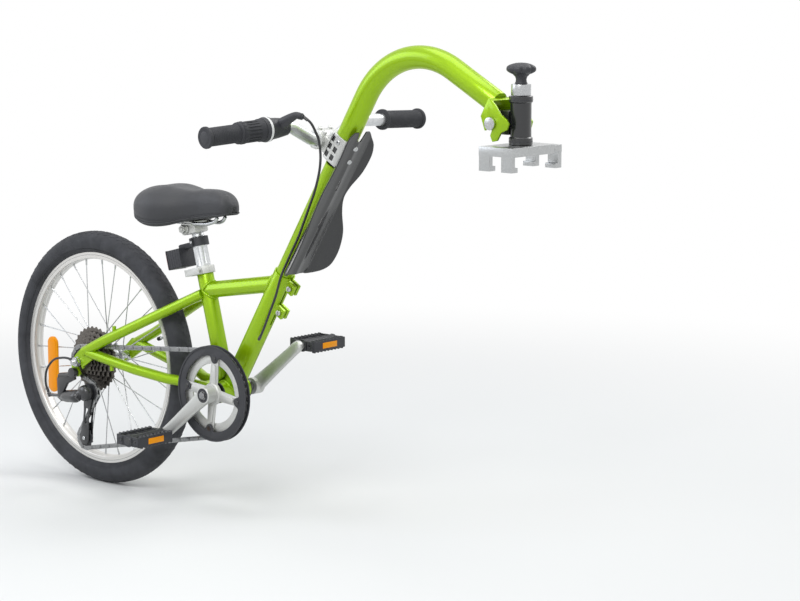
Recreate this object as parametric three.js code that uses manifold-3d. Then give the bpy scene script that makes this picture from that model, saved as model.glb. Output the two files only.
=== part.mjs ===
// A child's trailer bike: one wheel, its own pedals and gears, and a bent drawbar
// that hooks onto a coupling on the towing cycle's rear carrier.
// Millimetres, +X towards the coupling, +Y to the rider's left, +Z up.
// The origin lies under the middle of the coupling's base, where it sits on the carrier.
import * as THREE from 'three';
import { mergeVertices } from 'three/addons/utils/BufferGeometryUtils.js';
import Module from 'manifold-3d';

const wasm = await Module();
wasm.setup();

// sizes
const gap = 0.3;
const weldAt = 0.0001;
const overrun = 6;

const wheel = {
  diameter: 500, tyreSection: 47, casing: 3.5, tyreDepth: 41, rimDepth: 14.5, rimWidth: 24,
  rimWall: 2, rimWell: 8, bead: 3.4, beadDepth: 4, spoke: 2.1, spokesEachSide: 14,
  valve: 6, valveLength: 44, valveAngle: 18.8,
};
const hub = {
  axle: 10, axleLength: 164, barrel: 28, flange: 48, flangeWidth: 3,
  spokeCircle: 42, rightFlange: 17, leftFlange: 30, nut: 18, nutHeight: 8, endDiameter: 20,
  rightEnd: 19.5, leftEnd: 57,
};
const reflector = { height: 113, width: 28, thickness: 6, reach: 140, drop: 30 };
const chainSize = { pitch: 12.7, width: 6.4, height: 8.4, groove: 3.2, web: 1, toothDrop: 1.5, root: 4 };
const cassette = {
  teeth: [32, 28, 24, 21, 18, 16, 14], first: 22, spacing: 5, cogThickness: 2, body: 38,
  bodyStart: 20.2, lockRing: 28, lockRingEnd: 56,
};
const ringSize = {
  teeth: 40, thickness: 2.6, inner: 112, line: 44, armThickness: 2.9,
  guard: 180, guardInner: 144, guardThickness: 2, outerGuard: 50, innerGuard: 39.4,
  post: 8, tab: 17.6,
};
const bottomBracket = { ahead: 360, drop: 19, shell: 40, width: 68, cup: 40, cupWidth: 3, body: 34 };
const crank = {
  length: 140, axle: 16, boss: 32, armInner: 60, armOuter: 73, bossOuter: 74,
  eye: 22, bolt: 20, boltHeight: 2.7, angle: 141.5, leftBossInner: 52, spindle: 12, arms: 4,
};
const pedal = {
  start: 4, width: 86, length: 64, height: 24, barrel: 24, endPlate: 6, bar: 8, capGap: 3, tooth: 2.5,
};
const seatTube = { setback: 10, diameter: 31.8, length: 235, lean: 14.7 };
const mast = {
  angle: 58.6, diameter: 33.4, wall: 2.5, bottom: 60, couplerStart: 524, seat: 8,
};
const sleeve = {
  diameter: 40, length: 276, slitStart: 170, slit: 4, ear: 6, earStart: 15, earLengthUpper: 21,
  earLengthLower: 19, earReachUpper: 39, earReachLower: 40, upperEar: 253, lowerEar: 200,
  bolt: 6, boltInset: 8, boltHead: 10, boltHeadHeight: 5,
};
const coupler = {
  length: 54, width: 41, back: 22, front: 22.4, corner: 9, windowDepth: 2.4, windowWidth: 8.5,
  windowHeight: 11, windowPitch: 16, windowsFrom: 5, columnBack: 13, columnFront: 1,
};
const drawbar = {
  diameter: 40, wall: 2.5, lowStraight: 85, bend: 150, turn: 87.1, highStraight: 109,
  spigot: 45, plug: 5,
};
const yoke = {
  pivotAhead: 12, pivotBelow: 31, plate: 4.5, inside: 57, bridge: 8, bridgeUp: 12, bridgeDown: 22,
  bolt: 10, boltHead: 22, boltHeadHeight: 4.5, headSetback: 37, basePlane: 50,
};
const hitch = {
  slab: 15, length: 70, nearEdge: 66, farEdge: 46, jawHang: 25, jawWide: 22, jawAcross: 23.5,
  jawThick: 9, foot: 8, footReach: 7, postSink: 7, post: 21.5, headBottom: 15.3, headTop: 96,
  head: 35, headFlange: 39.6, flangeLow: 12.7, flangeHigh: 11, barrel: 24, barrelSide: 0.4,
  web: 30, webUp: 22, webDown: 20, collar: 33, collarHeight: 18.7, stub: 12, stubHeight: 23,
  knobNeck: 21.5, knobNeckHeight: 15.7, knob: 50, knobHeight: 19, scallop: 10, scallops: 8,
  clampThick: 19, clampHeight: 12, clampBolt: 6, clampBoltHead: 12, clampBoltHeadHeight: 4,
  clampBoltReach: 28, clampBoltAcross: 14,
};
const stay = {
  chain: 20, seat: 20, dropoutPlate: 4.5, dropoutInner: 61.5, bridge: 14, lug: 8, lugOut: 9,
  chainRearAhead: 33, seatRearAhead: 21, rearAbove: 22, jointBelow: 50, nose: 46, tail: 16, hangerBack: 20,
};
// Along each stay from the dropout: how far ahead and down (or up) and how far out, as shares.
const chainStayShares = [
  [0, 0, 1.04], [0.36, 0.51, 0.816], [0.6, 0.73, 0.659], [0.7, 0.83, 0.424], [0.82, 0.9, 0.376], [1, 1, 0.345],
];
const seatStayShares = [
  [0, 1.04], [0.2, 1.04], [0.38, 0.86], [0.6, 0.65], [0.74, 0.486], [0.894, 0.33], [0.985, 0.21],
];
const topTube = { diameter: 31.8, jointBelow: 45, climb: 9.5 };
const stem = {
  clamp: 36, clampWidth: 44, across: 46.7, up: 16.9, block: 26, foot: 24, footLow: 2, footHigh: 46,
  footThick: 8, bolt: 9, boltHeight: 3,
};
const bar = {
  diameter: 22.2, wall: 2, flat: 30, rise: 27, shoulder: 85, sweep: 17, droop: 9, halfWidth: 270,
  corner: 30,
};
const grip = { diameter: 33, length: 109, end: 4, rightLength: 75, flange: 38, flangeWidth: 4 };
const twist = { fromTip: 120, length: 48.5, diameter: 36, rib: 2 };
const shifter = { fromTip: 177, body: 42, ring: 8, diameter: 38, ringDiameter: 44, boss: 11 };
const cable = { diameter: 4.5, bossInset: 158, besideMast: 29 };
// The post and the lamp on it are given above the top of the seat tube.
const seatPost = {
  diameter: 27.2, inside: 160, shoulder: 57, neck: 22.2, neckTop: 77, groove: 5, grooveDepth: 2,
  grooveFrom: 3, grooveTo: 35,
};
const seatCollar = {
  height: 14, thickness: 3.4, slit: 3, earReach: 30, earThick: 7.5, bolt: 5, boltBack: 25, nut: 9,
  nutHeight: 5, eye: 10, eyeHeight: 5.2, pin: 4,
};
const lever = { cam: 12, cheek: 3.6, arm: 38, thickness: 3.4, heel: 0.6 };
const lamp = {
  bandFrom: 39, bandTo: 56, band: 36, arm: 16, armHeight: 11, bodyBack: 74, bodyFront: 36,
  bodyLow: 6, bodyHigh: 43, bodyWidth: 44, lens: 4, lensInset: 3,
};
const saddle = {
  length: 236, back: 132, width: 146, height: 76, railSpread: 44, rail: 7, railHeight: 8,
  shellLow: 16, shellHigh: 34, clampHeight: 26, clampHalf: 17, clampFront: 14, clampBack: 25,
  cradle: 26.5, cradleLow: 18, nut: 16, nutLength: 10, nutBack: 17, nutLow: 9,
};
const shield = {
  start: 290, end: 604, standLow: 19.6, standHigh: 24.2, strip: 60, thickness: 2.4, wing: 37,
  splay: 45, notch: 18, notchDepth: 20, round: 30, slot: 3.5, slotLength: 22, lowerSlot: 397,
  upperSlot: 479,
};
const changer = {
  pulleyTeeth: 10, pulleyThickness: 2.2, pulleyHub: 7, pulleyAhead: 20, pulleyBelow: 60,
  tensionAhead: 5, tensionBelow: 153, plateGap: 9, plate: 1.5, plateEnd: 26, bolt: 5,
  pivot: 10, pivotLength: 9, housing: 20, housingStart: 59.4, housingLength: 14,
  linkLength: 40, linkWidth: 12, linkHeight: 12, slant: 45, outward: 12, pinAhead: 0,
  pinBelow: 67, pinOut: 71, pin: 5, ear: 3, block: 8, hangerAhead: -8, hangerBelow: 22, boss: 20,
  bossLength: 10, hangerBolt: 6, adjuster: 9, adjusterWide: 8,
};

// colours
const paint = (color, roughness, metalness) => () => new THREE.MeshStandardMaterial({
  color, roughness, metalness,
});
const lime = paint(0x86b50a, 0.35, 0.3);
const silver = paint(0xc4c6c8, 0.35, 0.9);
const steel = paint(0x9a9c9e, 0.4, 0.9);
const black = paint(0x26272a, 0.5, 0.0);
const blackGloss = paint(0x1c1d20, 0.25, 0.0);
const rubber = paint(0x2b2c2e, 0.9, 0.0);
const amber = paint(0xe08a1a, 0.25, 0.0);

// helpers
const V = (x, y, z) => new THREE.Vector3(x, y, z);
const rad = THREE.MathUtils.degToRad;
const half = (size) => size / 2;
const sides = { large: 16, medium: 12, small: 10, tiny: 6 };

// Radius of a faceted bore whose flats clear a round piece of the given radius.
const bore = (radius, count = sides.medium) => (radius + gap) / Math.cos(Math.PI / count);

function toSolid(geometry) {
  const bare = geometry.clone();
  bare.deleteAttribute('normal');
  bare.deleteAttribute('uv');
  const merged = mergeVertices(bare, weldAt);
  const index = merged.index.array;
  const kept = [];
  for (let i = 0; i < index.length; i += 3) {
    const [a, b, c] = [index[i], index[i + 1], index[i + 2]];
    if (a !== b && b !== c && c !== a) kept.push(a, b, c);
  }
  const at = merged.attributes.position;
  let volume = 0;
  const [p, q, r] = [V(), V(), V()];
  for (let i = 0; i < kept.length; i += 3) {
    p.fromBufferAttribute(at, kept[i]);
    q.fromBufferAttribute(at, kept[i + 1]);
    r.fromBufferAttribute(at, kept[i + 2]);
    volume += p.dot(q.cross(r));
  }
  if (volume < 0) kept.reverse();
  return new wasm.Manifold(new wasm.Mesh({
    numProp: 3,
    vertProperties: new Float32Array(at.array),
    triVerts: new Uint32Array(kept),
  }));
}

function toGeometry(body) {
  const mesh = body.getMesh();
  const geometry = new THREE.BufferGeometry();
  const places = mesh.vertProperties;
  geometry.setAttribute('position', new THREE.BufferAttribute(new Float32Array(places), 3));
  geometry.setIndex(new THREE.BufferAttribute(new Uint32Array(mesh.triVerts), 1));
  return geometry;
}

const join = (...shapes) => toGeometry(shapes.map(toSolid).reduce((a, b) => a.add(b)));
const cut = (first, ...rest) => toGeometry(
  rest.map(toSolid).reduce((a, b) => a.subtract(b), toSolid(first)));

function turned(profile, count = sides.medium) {
  const outline = profile.map(([r, z]) => new THREE.Vector2(r, z));
  const first = outline[0];
  const last = outline[outline.length - 1];
  if (first.x > 0 || last.x > 0) outline.push(first.clone());
  const geometry = new THREE.LatheGeometry(outline, count);
  return geometry.rotateX(Math.PI / 2);
}

// The same turned piece with its axis along +Y.
const turnedY = (profile, count) => turned(profile, count).rotateX(-Math.PI / 2);

const pipe = (outer, inner, from, to, count) => turned(
  [[inner, from], [outer, from], [outer, to], [inner, to]], count);

function aim(geometry, from, to) {
  const turn = new THREE.Quaternion().setFromUnitVectors(V(0, 0, 1), to.clone().sub(from).normalize());
  return geometry.applyQuaternion(turn).translate(from.x, from.y, from.z);
}

function rod(from, to, radius, count = sides.small, endRadius = radius) {
  const length = from.distanceTo(to);
  return aim(turned([[0, 0], [radius, 0], [endRadius, length], [0, length]], count), from, to);
}

const rodY = (x, z, y0, y1, radius, count) => rod(V(x, y0, z), V(x, y1, z), radius, count);

function block(x0, x1, y0, y1, z0, z1) {
  return new THREE.BoxGeometry(x1 - x0, y1 - y0, z1 - z0)
    .translate((x0 + x1) / 2, (y0 + y1) / 2, (z0 + z1) / 2);
}

function outlineShape(points, holes = []) {
  const shape = new THREE.Shape(points.map(([x, y]) => new THREE.Vector2(x, y)));
  for (const hole of holes) {
    shape.holes.push(new THREE.Path(hole.map(([x, y]) => new THREE.Vector2(x, y))));
  }
  return shape;
}

// An outline in X and Y, raised along +Z.
function raised(points, z0, z1, holes) {
  const geometry = new THREE.ExtrudeGeometry(outlineShape(points, holes), {
    depth: z1 - z0, bevelEnabled: false,
  });
  return geometry.translate(0, 0, z0);
}

// An outline in X and Z, with its faces at y0 and y1.
const sheet = (points, y0, y1, holes) => raised(points, -y1, -y0, holes).rotateX(Math.PI / 2);

function circlePoints(radius, count = sides.medium, x = 0, y = 0) {
  return Array.from({ length: count }, (_, i) => {
    const a = (i / count) * 2 * Math.PI;
    return [x + radius * Math.cos(a), y + radius * Math.sin(a)];
  });
}

// Two round ends and the straight sides between them.
function capsule(x0, y0, r0, x1, y1, r1, steps = 4) {
  const length = Math.hypot(x1 - x0, y1 - y0);
  const heading = Math.atan2(y1 - y0, x1 - x0);
  const lean = Math.acos((r0 - r1) / length);
  const points = [];
  for (let i = 0; i <= steps; i += 1) {
    const a = heading - lean + (i / steps) * 2 * lean;
    points.push([x1 + r1 * Math.cos(a), y1 + r1 * Math.sin(a)]);
  }
  for (let i = 0; i <= steps; i += 1) {
    const a = heading + lean + (i / steps) * 2 * (Math.PI - lean);
    points.push([x0 + r0 * Math.cos(a), y0 + r0 * Math.sin(a)]);
  }
  return points;
}

// Straight stretches between given points, each joint of the route mitred.
class Route extends THREE.Curve {
  constructor(points, across = null, closed = false) {
    super();
    this.points = points;
    this.across = across;
    this.closed = closed;
  }

  getPoint(share) {
    const last = this.points.length - 1;
    const at = share * last;
    const i = Math.min(Math.round(at), last);
    return this.points[i].clone();
  }

  getPointAt(share) {
    return this.getPoint(share);
  }

  getTangentAt(share) {
    const last = this.points.length - 1;
    const i = Math.round(share * last);
    const before = i > 0 ? i - 1 : (this.closed ? last - 1 : null);
    const after = i < last ? i + 1 : (this.closed ? 1 : null);
    const here = this.points[i];
    const way = V();
    if (before !== null) way.add(here.clone().sub(this.points[before]).normalize());
    if (after !== null) way.add(this.points[after].clone().sub(here).normalize());
    return way.normalize();
  }

  computeFrenetFrames(segments) {
    if (!this.across) return super.computeFrenetFrames(segments, false);
    const tangents = [];
    const normals = [];
    const binormals = [];
    for (let i = 0; i <= segments; i += 1) {
      const tangent = this.getTangentAt(i / segments);
      const normal = this.across.clone().cross(tangent).normalize();
      tangents.push(tangent);
      normals.push(normal);
      binormals.push(tangent.clone().cross(normal));
    }
    return { tangents, normals, binormals };
  }
}

function swept(points, section, across) {
  return new THREE.ExtrudeGeometry(section, {
    steps: points.length - 1, extrudePath: new Route(points, across), bevelEnabled: false,
  });
}

const roundBar = (points, radius, count = sides.small) => swept(
  points, outlineShape(circlePoints(radius, count)));

// A route with its corners rounded to the given radius.
function rounded(points, radius, stepAngle = rad(30)) {
  const route = [points[0].clone()];
  for (let i = 1; i < points.length - 1; i += 1) {
    const into = points[i].clone().sub(points[i - 1]);
    const out = points[i + 1].clone().sub(points[i]);
    const room = Math.min(into.length(), out.length()) / 2;
    into.normalize();
    out.normalize();
    const turn = into.angleTo(out);
    const reach = Math.min(radius * Math.tan(turn / 2), room);
    const used = reach / Math.tan(turn / 2);
    const count = Math.max(1, Math.ceil(turn / stepAngle));
    const inward = out.clone().sub(into.clone().multiplyScalar(into.dot(out))).normalize();
    const start = points[i].clone().addScaledVector(into, -reach);
    const centre = start.clone().addScaledVector(inward, used);
    for (let k = 0; k <= count; k += 1) {
      const a = (k / count) * turn;
      route.push(centre.clone()
        .addScaledVector(inward, -used * Math.cos(a))
        .addScaledVector(into, used * Math.sin(a)));
    }
  }
  route.push(points[points.length - 1].clone());
  return route;
}

function smooth(points, count) {
  return new THREE.CatmullRomCurve3(points, false, 'centripetal').getSpacedPoints(count);
}

function toothed(teeth, pitchRadius) {
  const tip = pitchRadius - chainSize.toothDrop;
  const root = pitchRadius - chainSize.root;
  return Array.from({ length: teeth * 2 }, (_, i) => {
    const a = (i / teeth) * Math.PI;
    const r = i % 2 ? root : tip;
    return [r * Math.cos(a), r * Math.sin(a)];
  });
}

const pitchRadius = (teeth) => (chainSize.pitch * teeth) / (2 * Math.PI);

// places
const wheelRadius = half(wheel.diameter);
const axle = V(0, 0, wheelRadius);
const centre = V(bottomBracket.ahead, 0, wheelRadius - bottomBracket.drop);
const mastWay = V(Math.cos(rad(mast.angle)), 0, Math.sin(rad(mast.angle)));
const mastFront = V(mastWay.z, 0, -mastWay.x);
const onMast = (s, n, y) => centre.clone()
  .addScaledVector(mastWay, s).addScaledVector(mastFront, n).add(V(0, y, 0));
const seatFoot = centre.clone().add(V(-seatTube.setback, 0, 0));
const seatWay = V(-Math.sin(rad(seatTube.lean)), 0, Math.cos(rad(seatTube.lean)));
const onSeat = (s) => seatFoot.clone().addScaledVector(seatWay, s);

const part = new THREE.Group();
const bike = new THREE.Group();
part.add(bike);

function place(name, geometry, material, home = bike) {
  const mesh = new THREE.Mesh(toGeometry(toSolid(geometry)), material());
  mesh.name = name;
  home.add(mesh);
  return mesh;
}

function home(position, turn = null) {
  const group = new THREE.Group();
  group.position.copy(position);
  if (turn) group.quaternion.copy(turn);
  bike.add(group);
  return group;
}

const about = (axis, degrees) => new THREE.Quaternion().setFromAxisAngle(axis, rad(degrees));
const mastHome = home(centre, about(V(0, 1, 0), 90 - mast.angle));
const seatHome = home(seatFoot, about(V(0, 1, 0), -seatTube.lean));
const wheelHome = home(axle);
const crankHome = home(centre, about(V(0, 1, 0), crank.angle));

// frame tubes
const shellRadius = half(bottomBracket.shell);
const shellHalf = half(bottomBracket.width);
const shellRoom = shellRadius + gap;
const sleeveRadius = half(sleeve.diameter);
const seatRadius = half(seatTube.diameter);
const unitRadius = half(bottomBracket.body);

place('bottom_bracket_shell', turnedY([
  [bore(unitRadius, sides.large), -shellHalf], [shellRadius, -shellHalf],
  [shellRadius, shellHalf], [bore(unitRadius, sides.large), shellHalf],
], sides.large).translate(centre.x, 0, centre.z), lime);

const crankBore = bore(half(crank.axle));
place('bottom_bracket_unit', turnedY([
  [crankBore, -shellHalf - gap - bottomBracket.cupWidth],
  [half(bottomBracket.cup), -shellHalf - gap - bottomBracket.cupWidth],
  [half(bottomBracket.cup), -shellHalf - gap],
  [unitRadius, -shellHalf - gap],
  [unitRadius, shellHalf + gap],
  [half(bottomBracket.cup), shellHalf + gap],
  [half(bottomBracket.cup), shellHalf + gap + bottomBracket.cupWidth],
  [crankBore, shellHalf + gap + bottomBracket.cupWidth],
], sides.large).translate(centre.x, 0, centre.z), black);

const shellCutter = (at) => rodY(
  at.x, at.z, -shellHalf - overrun, shellHalf + overrun, shellRoom / Math.cos(Math.PI / sides.large),
  sides.large);

// The sleeve's own frame: origin on the crank centre, +Z up the mast, +X to its front.
const mastRadius = half(mast.diameter);
const mastBore = bore(mastRadius);
const earTo = sleeve.slit / 2 + sleeve.ear;
const ears = [
  [sleeve.upperEar, sleeve.earLengthUpper, sleeve.earReachUpper],
  [sleeve.lowerEar, sleeve.earLengthLower, sleeve.earReachLower],
];
const boltRadius = half(sleeve.bolt);
const boltHeadRadius = half(sleeve.boltHead);
place('down_tube_sleeve', cut(
  join(
    rod(V(0, 0, 0), V(0, 0, sleeve.length), sleeveRadius, sides.large),
    ...ears.map(([from, length, reach]) => block(
      sleeve.earStart, reach, -earTo, earTo, from, from + length)),
  ),
  rod(V(0, 0, 0), V(0, 0, sleeve.length + overrun), mastBore, sides.medium),
  block(0, sleeve.earReachLower + overrun, -half(sleeve.slit), half(sleeve.slit),
    sleeve.slitStart, sleeve.length + overrun),
  ...ears.map(([from, length, reach]) => rodY(
    reach - sleeve.boltInset, from + length / 2, -earTo - overrun, earTo + overrun,
    bore(boltRadius, sides.tiny), sides.tiny)),
  shellCutter(V(0, 0, 0)),
), lime, mastHome);

ears.forEach(([from, length, reach], i) => {
  const [x, z] = [reach - sleeve.boltInset, from + length / 2];
  const face = earTo + gap;
  place(['pinch_bolt_upper', 'pinch_bolt_lower'][i], join(
    rodY(x, z, -face - half(sleeve.boltHeadHeight), face + half(sleeve.boltHeadHeight), boltRadius,
      sides.tiny),
    rodY(x, z, -face - sleeve.boltHeadHeight, -face, boltHeadRadius, sides.small),
    rodY(x, z, face, face + sleeve.boltHeadHeight, boltHeadRadius, 6),
  ), steel, mastHome);
});

const couplerEnd = mast.couplerStart + coupler.length;
const mastTop = mast.couplerStart + mast.seat;
place('mast_tube', pipe(
  mastRadius, mastRadius - mast.wall, mast.bottom, mastTop, sides.medium), lime, mastHome);

const seatBore = bore(half(seatPost.diameter));
const sleeveInSeat = rod(
  V(seatTube.setback, 0, 0),
  V(seatTube.setback, 0, 0).addScaledVector(
    V(Math.sin(rad(90 - mast.angle + seatTube.lean)), 0, Math.cos(rad(90 - mast.angle + seatTube.lean))),
    sleeve.length),
  (sleeveRadius + gap) / Math.cos(Math.PI / sides.large), sides.large);
const shellInSeat = V(
  seatTube.setback * Math.cos(rad(seatTube.lean)), 0, seatTube.setback * Math.sin(rad(seatTube.lean)));
place('seat_tube', cut(
  rod(V(0, 0, 0), V(0, 0, seatTube.length), seatRadius, sides.medium),
  rod(V(0, 0, -overrun), V(0, 0, seatTube.length + overrun), seatBore, sides.medium),
  sleeveInSeat.clone().translate(shellInSeat.x - seatTube.setback, 0, shellInSeat.z),
  shellCutter(shellInSeat),
), lime, seatHome);

const topStart = onSeat(seatTube.length - topTube.jointBelow);
const topWay = V(Math.cos(rad(topTube.climb)), 0, Math.sin(rad(topTube.climb)));
const toMast = centre.clone().sub(topStart);
const topLength = (toMast.x * mastWay.z - toMast.z * mastWay.x)
  / (topWay.x * mastWay.z - topWay.z * mastWay.x);
const fullRound = (from, to, radius, count = sides.large) => rod(
  from, to, (radius + gap) / Math.cos(Math.PI / count), count);
place('top_tube', cut(
  rod(topStart, topStart.clone().addScaledVector(topWay, topLength), half(topTube.diameter)),
  fullRound(onSeat(0), onSeat(seatTube.length + overrun), seatRadius),
  fullRound(onMast(0, 0, 0), onMast(sleeve.length + sleeve.diameter, 0, 0), sleeveRadius),
), lime);

// rear end
const chainRadius = half(stay.chain);
const seatStayRadius = half(stay.seat);
const dropoutMid = stay.dropoutInner + half(stay.dropoutPlate);
const chainRear = V(stay.chainRearAhead, 0, axle.z + stay.rearAbove);
const seatRear = V(stay.seatRearAhead, 0, axle.z + stay.rearAbove);
const chainPath = (side) => chainStayShares.map(([ahead, down, out]) => V(
  chainRear.x + (centre.x - chainRear.x) * ahead, side * dropoutMid * out,
  chainRear.z + (centre.z - chainRear.z) * down));
const stayJoint = onSeat(seatTube.length - stay.jointBelow);
const seatPath = (side) => seatStayShares.map(([along, out]) => {
  const at = seatRear.clone().lerp(stayJoint, along);
  return V(at.x, side * dropoutMid * out, at.z);
});
const outer = stay.dropoutInner + stay.dropoutPlate;
const slotRoom = (radius) => (radius + gap) / Math.cos(Math.PI / 8);
const axleRoom = slotRoom(half(hub.axle));
const hanger = V(changer.hangerAhead, 0, axle.z - changer.hangerBelow);
const dropoutOutline = (withHanger) => {
  const [nose, tail, up] = [stay.nose, stay.tail, stay.rearAbove];
  const top = [
    [tail, -half(tail)], [nose, half(up)], [nose + chainRadius, up + chainRadius / 2],
    [nose, up + chainRadius], [tail, up + chainRadius], [-half(tail), half(up)], [-tail, 0],
  ];
  const below = withHanger
    ? [[-stay.hangerBack, -changer.hangerBelow], [-tail, -stay.nose + tail], [0, -stay.nose + tail],
      [half(tail), -changer.hangerBelow]]
    : [[-half(tail), -tail], [half(tail), -tail]];
  return [...top, ...below].map(([x, z]) => [axle.x + x, axle.z + z]);
};
const slotCutter = (y0, y1) => sheet(
  capsule(axle.x, axle.z, axleRoom, axle.x + stay.nose * 0.5, axle.z - stay.nose, axleRoom), y0, y1);
const lug = (at, way) => rod(at, at.clone().add(way), half(stay.lug), sides.tiny);
const seatTubeRound = fullRound(onSeat(0), onSeat(seatTube.length + overrun), seatRadius);
const shellRound = shellCutter(centre);

for (const [name, side] of [['right', -1], ['left', 1]]) {
  const ys = [side * stay.dropoutInner, side * outer].sort((a, b) => a - b);
  const plateRoom = [ys[0] - gap, ys[1] + gap];
  const chainLine = chainPath(side);
  const seatLine = seatPath(side);
  const bridgeEnd = side < 0 ? 1 : 0;
  const chainBar = roundBar(chainLine, chainRadius);
  const seatBar = roundBar(seatLine, seatStayRadius);
  const chainBits = [chainBar, cut(
    sheet(dropoutOutline(side < 0), ys[0], ys[1]),
    slotCutter(ys[0] - overrun, ys[1] + overrun),
    ...(side < 0 ? [rodY(hanger.x, hanger.z, ys[0] - overrun, ys[1] + overrun,
      bore(half(changer.hangerBolt)), sides.small)] : []),
  )];
  const seatBits = [seatBar];
  if (bridgeEnd) {
    const low = chainLine[4];
    const high = seatLine[5];
    chainBits.push(rodY(low.x, low.z, low.y, -low.y, half(stay.bridge)));
    seatBits.push(rodY(high.x, high.z, high.y, -high.y, half(stay.bridge)));
    const lugAt = seatLine[2].clone().lerp(seatLine[1], half(1));
    const out = seatStayRadius + stay.lugOut;
    seatBits.push(lug(lugAt, V(0, 0, out)));
    chainBits.push(lug(chainLine[1].clone().lerp(chainLine[0], half(1)), V(0, 0, -out)));
  }
  const mirrorBar = (line, radius) => roundBar(
    line.map((at) => at.clone().setY(-at.y)), (radius + gap) / Math.cos(Math.PI / sides.small));
  const chainCutters = [shellRound];
  const seatCutters = [seatTubeRound, sheet(dropoutOutline(side < 0).map(([x, z]) => [x, z]),
    plateRoom[0], plateRoom[1])];
  if (bridgeEnd) {
    chainCutters.push(mirrorBar(chainLine, chainRadius));
    seatCutters.push(mirrorBar(seatLine, seatStayRadius));
  }
  const stayPair = roundBar(chainLine, (chainRadius + gap) / Math.cos(Math.PI / sides.small));
  place(`chain_stay_${name}`, cut(join(...chainBits), ...chainCutters), lime);
  place(`seat_stay_${name}`, cut(join(...seatBits), stayPair, ...seatCutters), lime);
}

// wheel
const rimOuter = wheelRadius - wheel.tyreDepth;
const rimInner = rimOuter - wheel.rimDepth;
const sectionRadius = half(wheel.tyreSection);
const ringCentre = wheelRadius - sectionRadius;
const rounds = 30;
const flangeIn = half(wheel.rimWidth) - wheel.rimWall;
const beadTop = rimOuter + gap;
const arcPoint = (radius, degrees) => [
  ringCentre + radius * Math.cos(rad(degrees)), radius * Math.sin(rad(degrees))];
const beadOut = flangeIn - gap;
const beadIn = beadOut - wheel.bead;
const edgeHalf = Math.sqrt(sectionRadius ** 2 - (ringCentre - beadTop) ** 2);
const insideRadius = sectionRadius - wheel.casing;
place('tyre', turnedY([
  [beadTop, edgeHalf], ...[100, 60, 20, -20, -60, -100].map((a) => arcPoint(sectionRadius, a)),
  [beadTop, -edgeHalf], [beadTop, -beadOut], [beadTop - wheel.beadDepth, -beadOut],
  [beadTop - wheel.beadDepth, -beadIn], ...[-120, -60, 0, 60, 120].map((a) => arcPoint(insideRadius, a)),
  [beadTop - wheel.beadDepth, beadIn], [beadTop - wheel.beadDepth, beadOut], [beadTop, beadOut],
], rounds), rubber, wheelHome);

const valveWay = V(Math.cos(rad(wheel.valveAngle)), 0, Math.sin(rad(wheel.valveAngle)));
const valveFrom = ringCentre - half(insideRadius);
const valveTo = rimInner - wheel.valveLength + (rimOuter - rimInner);
const valveRadius = half(wheel.valve);
place('inner_tube', join(
  turnedY([120, 60, 0, -60, -120].map((a) => arcPoint(insideRadius - 2 * gap, a)), rounds),
  rod(valveWay.clone().multiplyScalar(valveTo), valveWay.clone().multiplyScalar(valveFrom), valveRadius,
    sides.tiny),
), rubber, wheelHome);

const rimHalf = half(wheel.rimWidth);
const rimBase = rimOuter - wheel.rimWell;
const rimInset = rimHalf - (rimOuter - rimInner) * 0.3;
place('rim', cut(
  turnedY([
    [rimInner, rimInset], [rimBase - wheel.rimWall, rimHalf], [rimOuter, rimHalf], [rimOuter, flangeIn],
    [rimBase, flangeIn], [rimBase, -flangeIn], [rimOuter, -flangeIn], [rimOuter, -rimHalf],
    [rimBase - wheel.rimWall, -rimHalf], [rimInner, -rimInset],
  ], rounds),
  rod(valveWay.clone().multiplyScalar(valveTo), valveWay.clone().multiplyScalar(ringCentre),
    bore(valveRadius, sides.tiny), sides.tiny),
), silver, wheelHome);

const hubAxle = half(hub.axle);
const hubBore = bore(hubAxle, sides.small);
const barrel = half(hub.barrel);
const flange = half(hub.flange);
const halfFlange = half(hub.flangeWidth);
place('hub_shell', turnedY([
  [hubBore, -hub.rightEnd], [barrel, -hub.rightEnd], [barrel, -hub.rightFlange - halfFlange],
  [flange, -hub.rightFlange - halfFlange], [flange, -hub.rightFlange + halfFlange],
  [barrel, -hub.rightFlange + halfFlange], [barrel, hub.leftFlange - halfFlange],
  [flange, hub.leftFlange - halfFlange], [flange, hub.leftFlange + halfFlange],
  [barrel, hub.leftFlange + halfFlange], [half(hub.endDiameter), hub.leftEnd], [hubBore, hub.leftEnd],
]), silver, wheelHome);

const spokeRadius = half(wheel.spoke);
const crossing = 2;
const spokeGap = spokeRadius + gap;
const spokeTable = {
  spokes_right: [-hub.rightFlange + halfFlange + spokeGap, 0, -spokeRadius],
  spokes_left: [hub.leftFlange - halfFlange - spokeGap, half(1), spokeRadius],
};
for (const [name, [flangeY, shift, rimY]] of Object.entries(spokeTable)) {
  const pitch = (2 * Math.PI) / wheel.spokesEachSide;
  const rods = Array.from({ length: wheel.spokesEachSide }, (_, i) => {
    const atRim = (i + shift) * pitch;
    const atHub = atRim + (i % 2 ? -1 : 1) * crossing * pitch;
    const [r0, r1] = [half(hub.spokeCircle), rimInner * Math.cos(Math.PI / rounds) - gap - half(gap)];
    return rod(
      V(r0 * Math.cos(atHub), flangeY, r0 * Math.sin(atHub)),
      V(r1 * Math.cos(atRim), rimY, r1 * Math.sin(atRim)), spokeRadius, 3);
  });
  place(name, join(...rods), steel, wheelHome);
}

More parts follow.
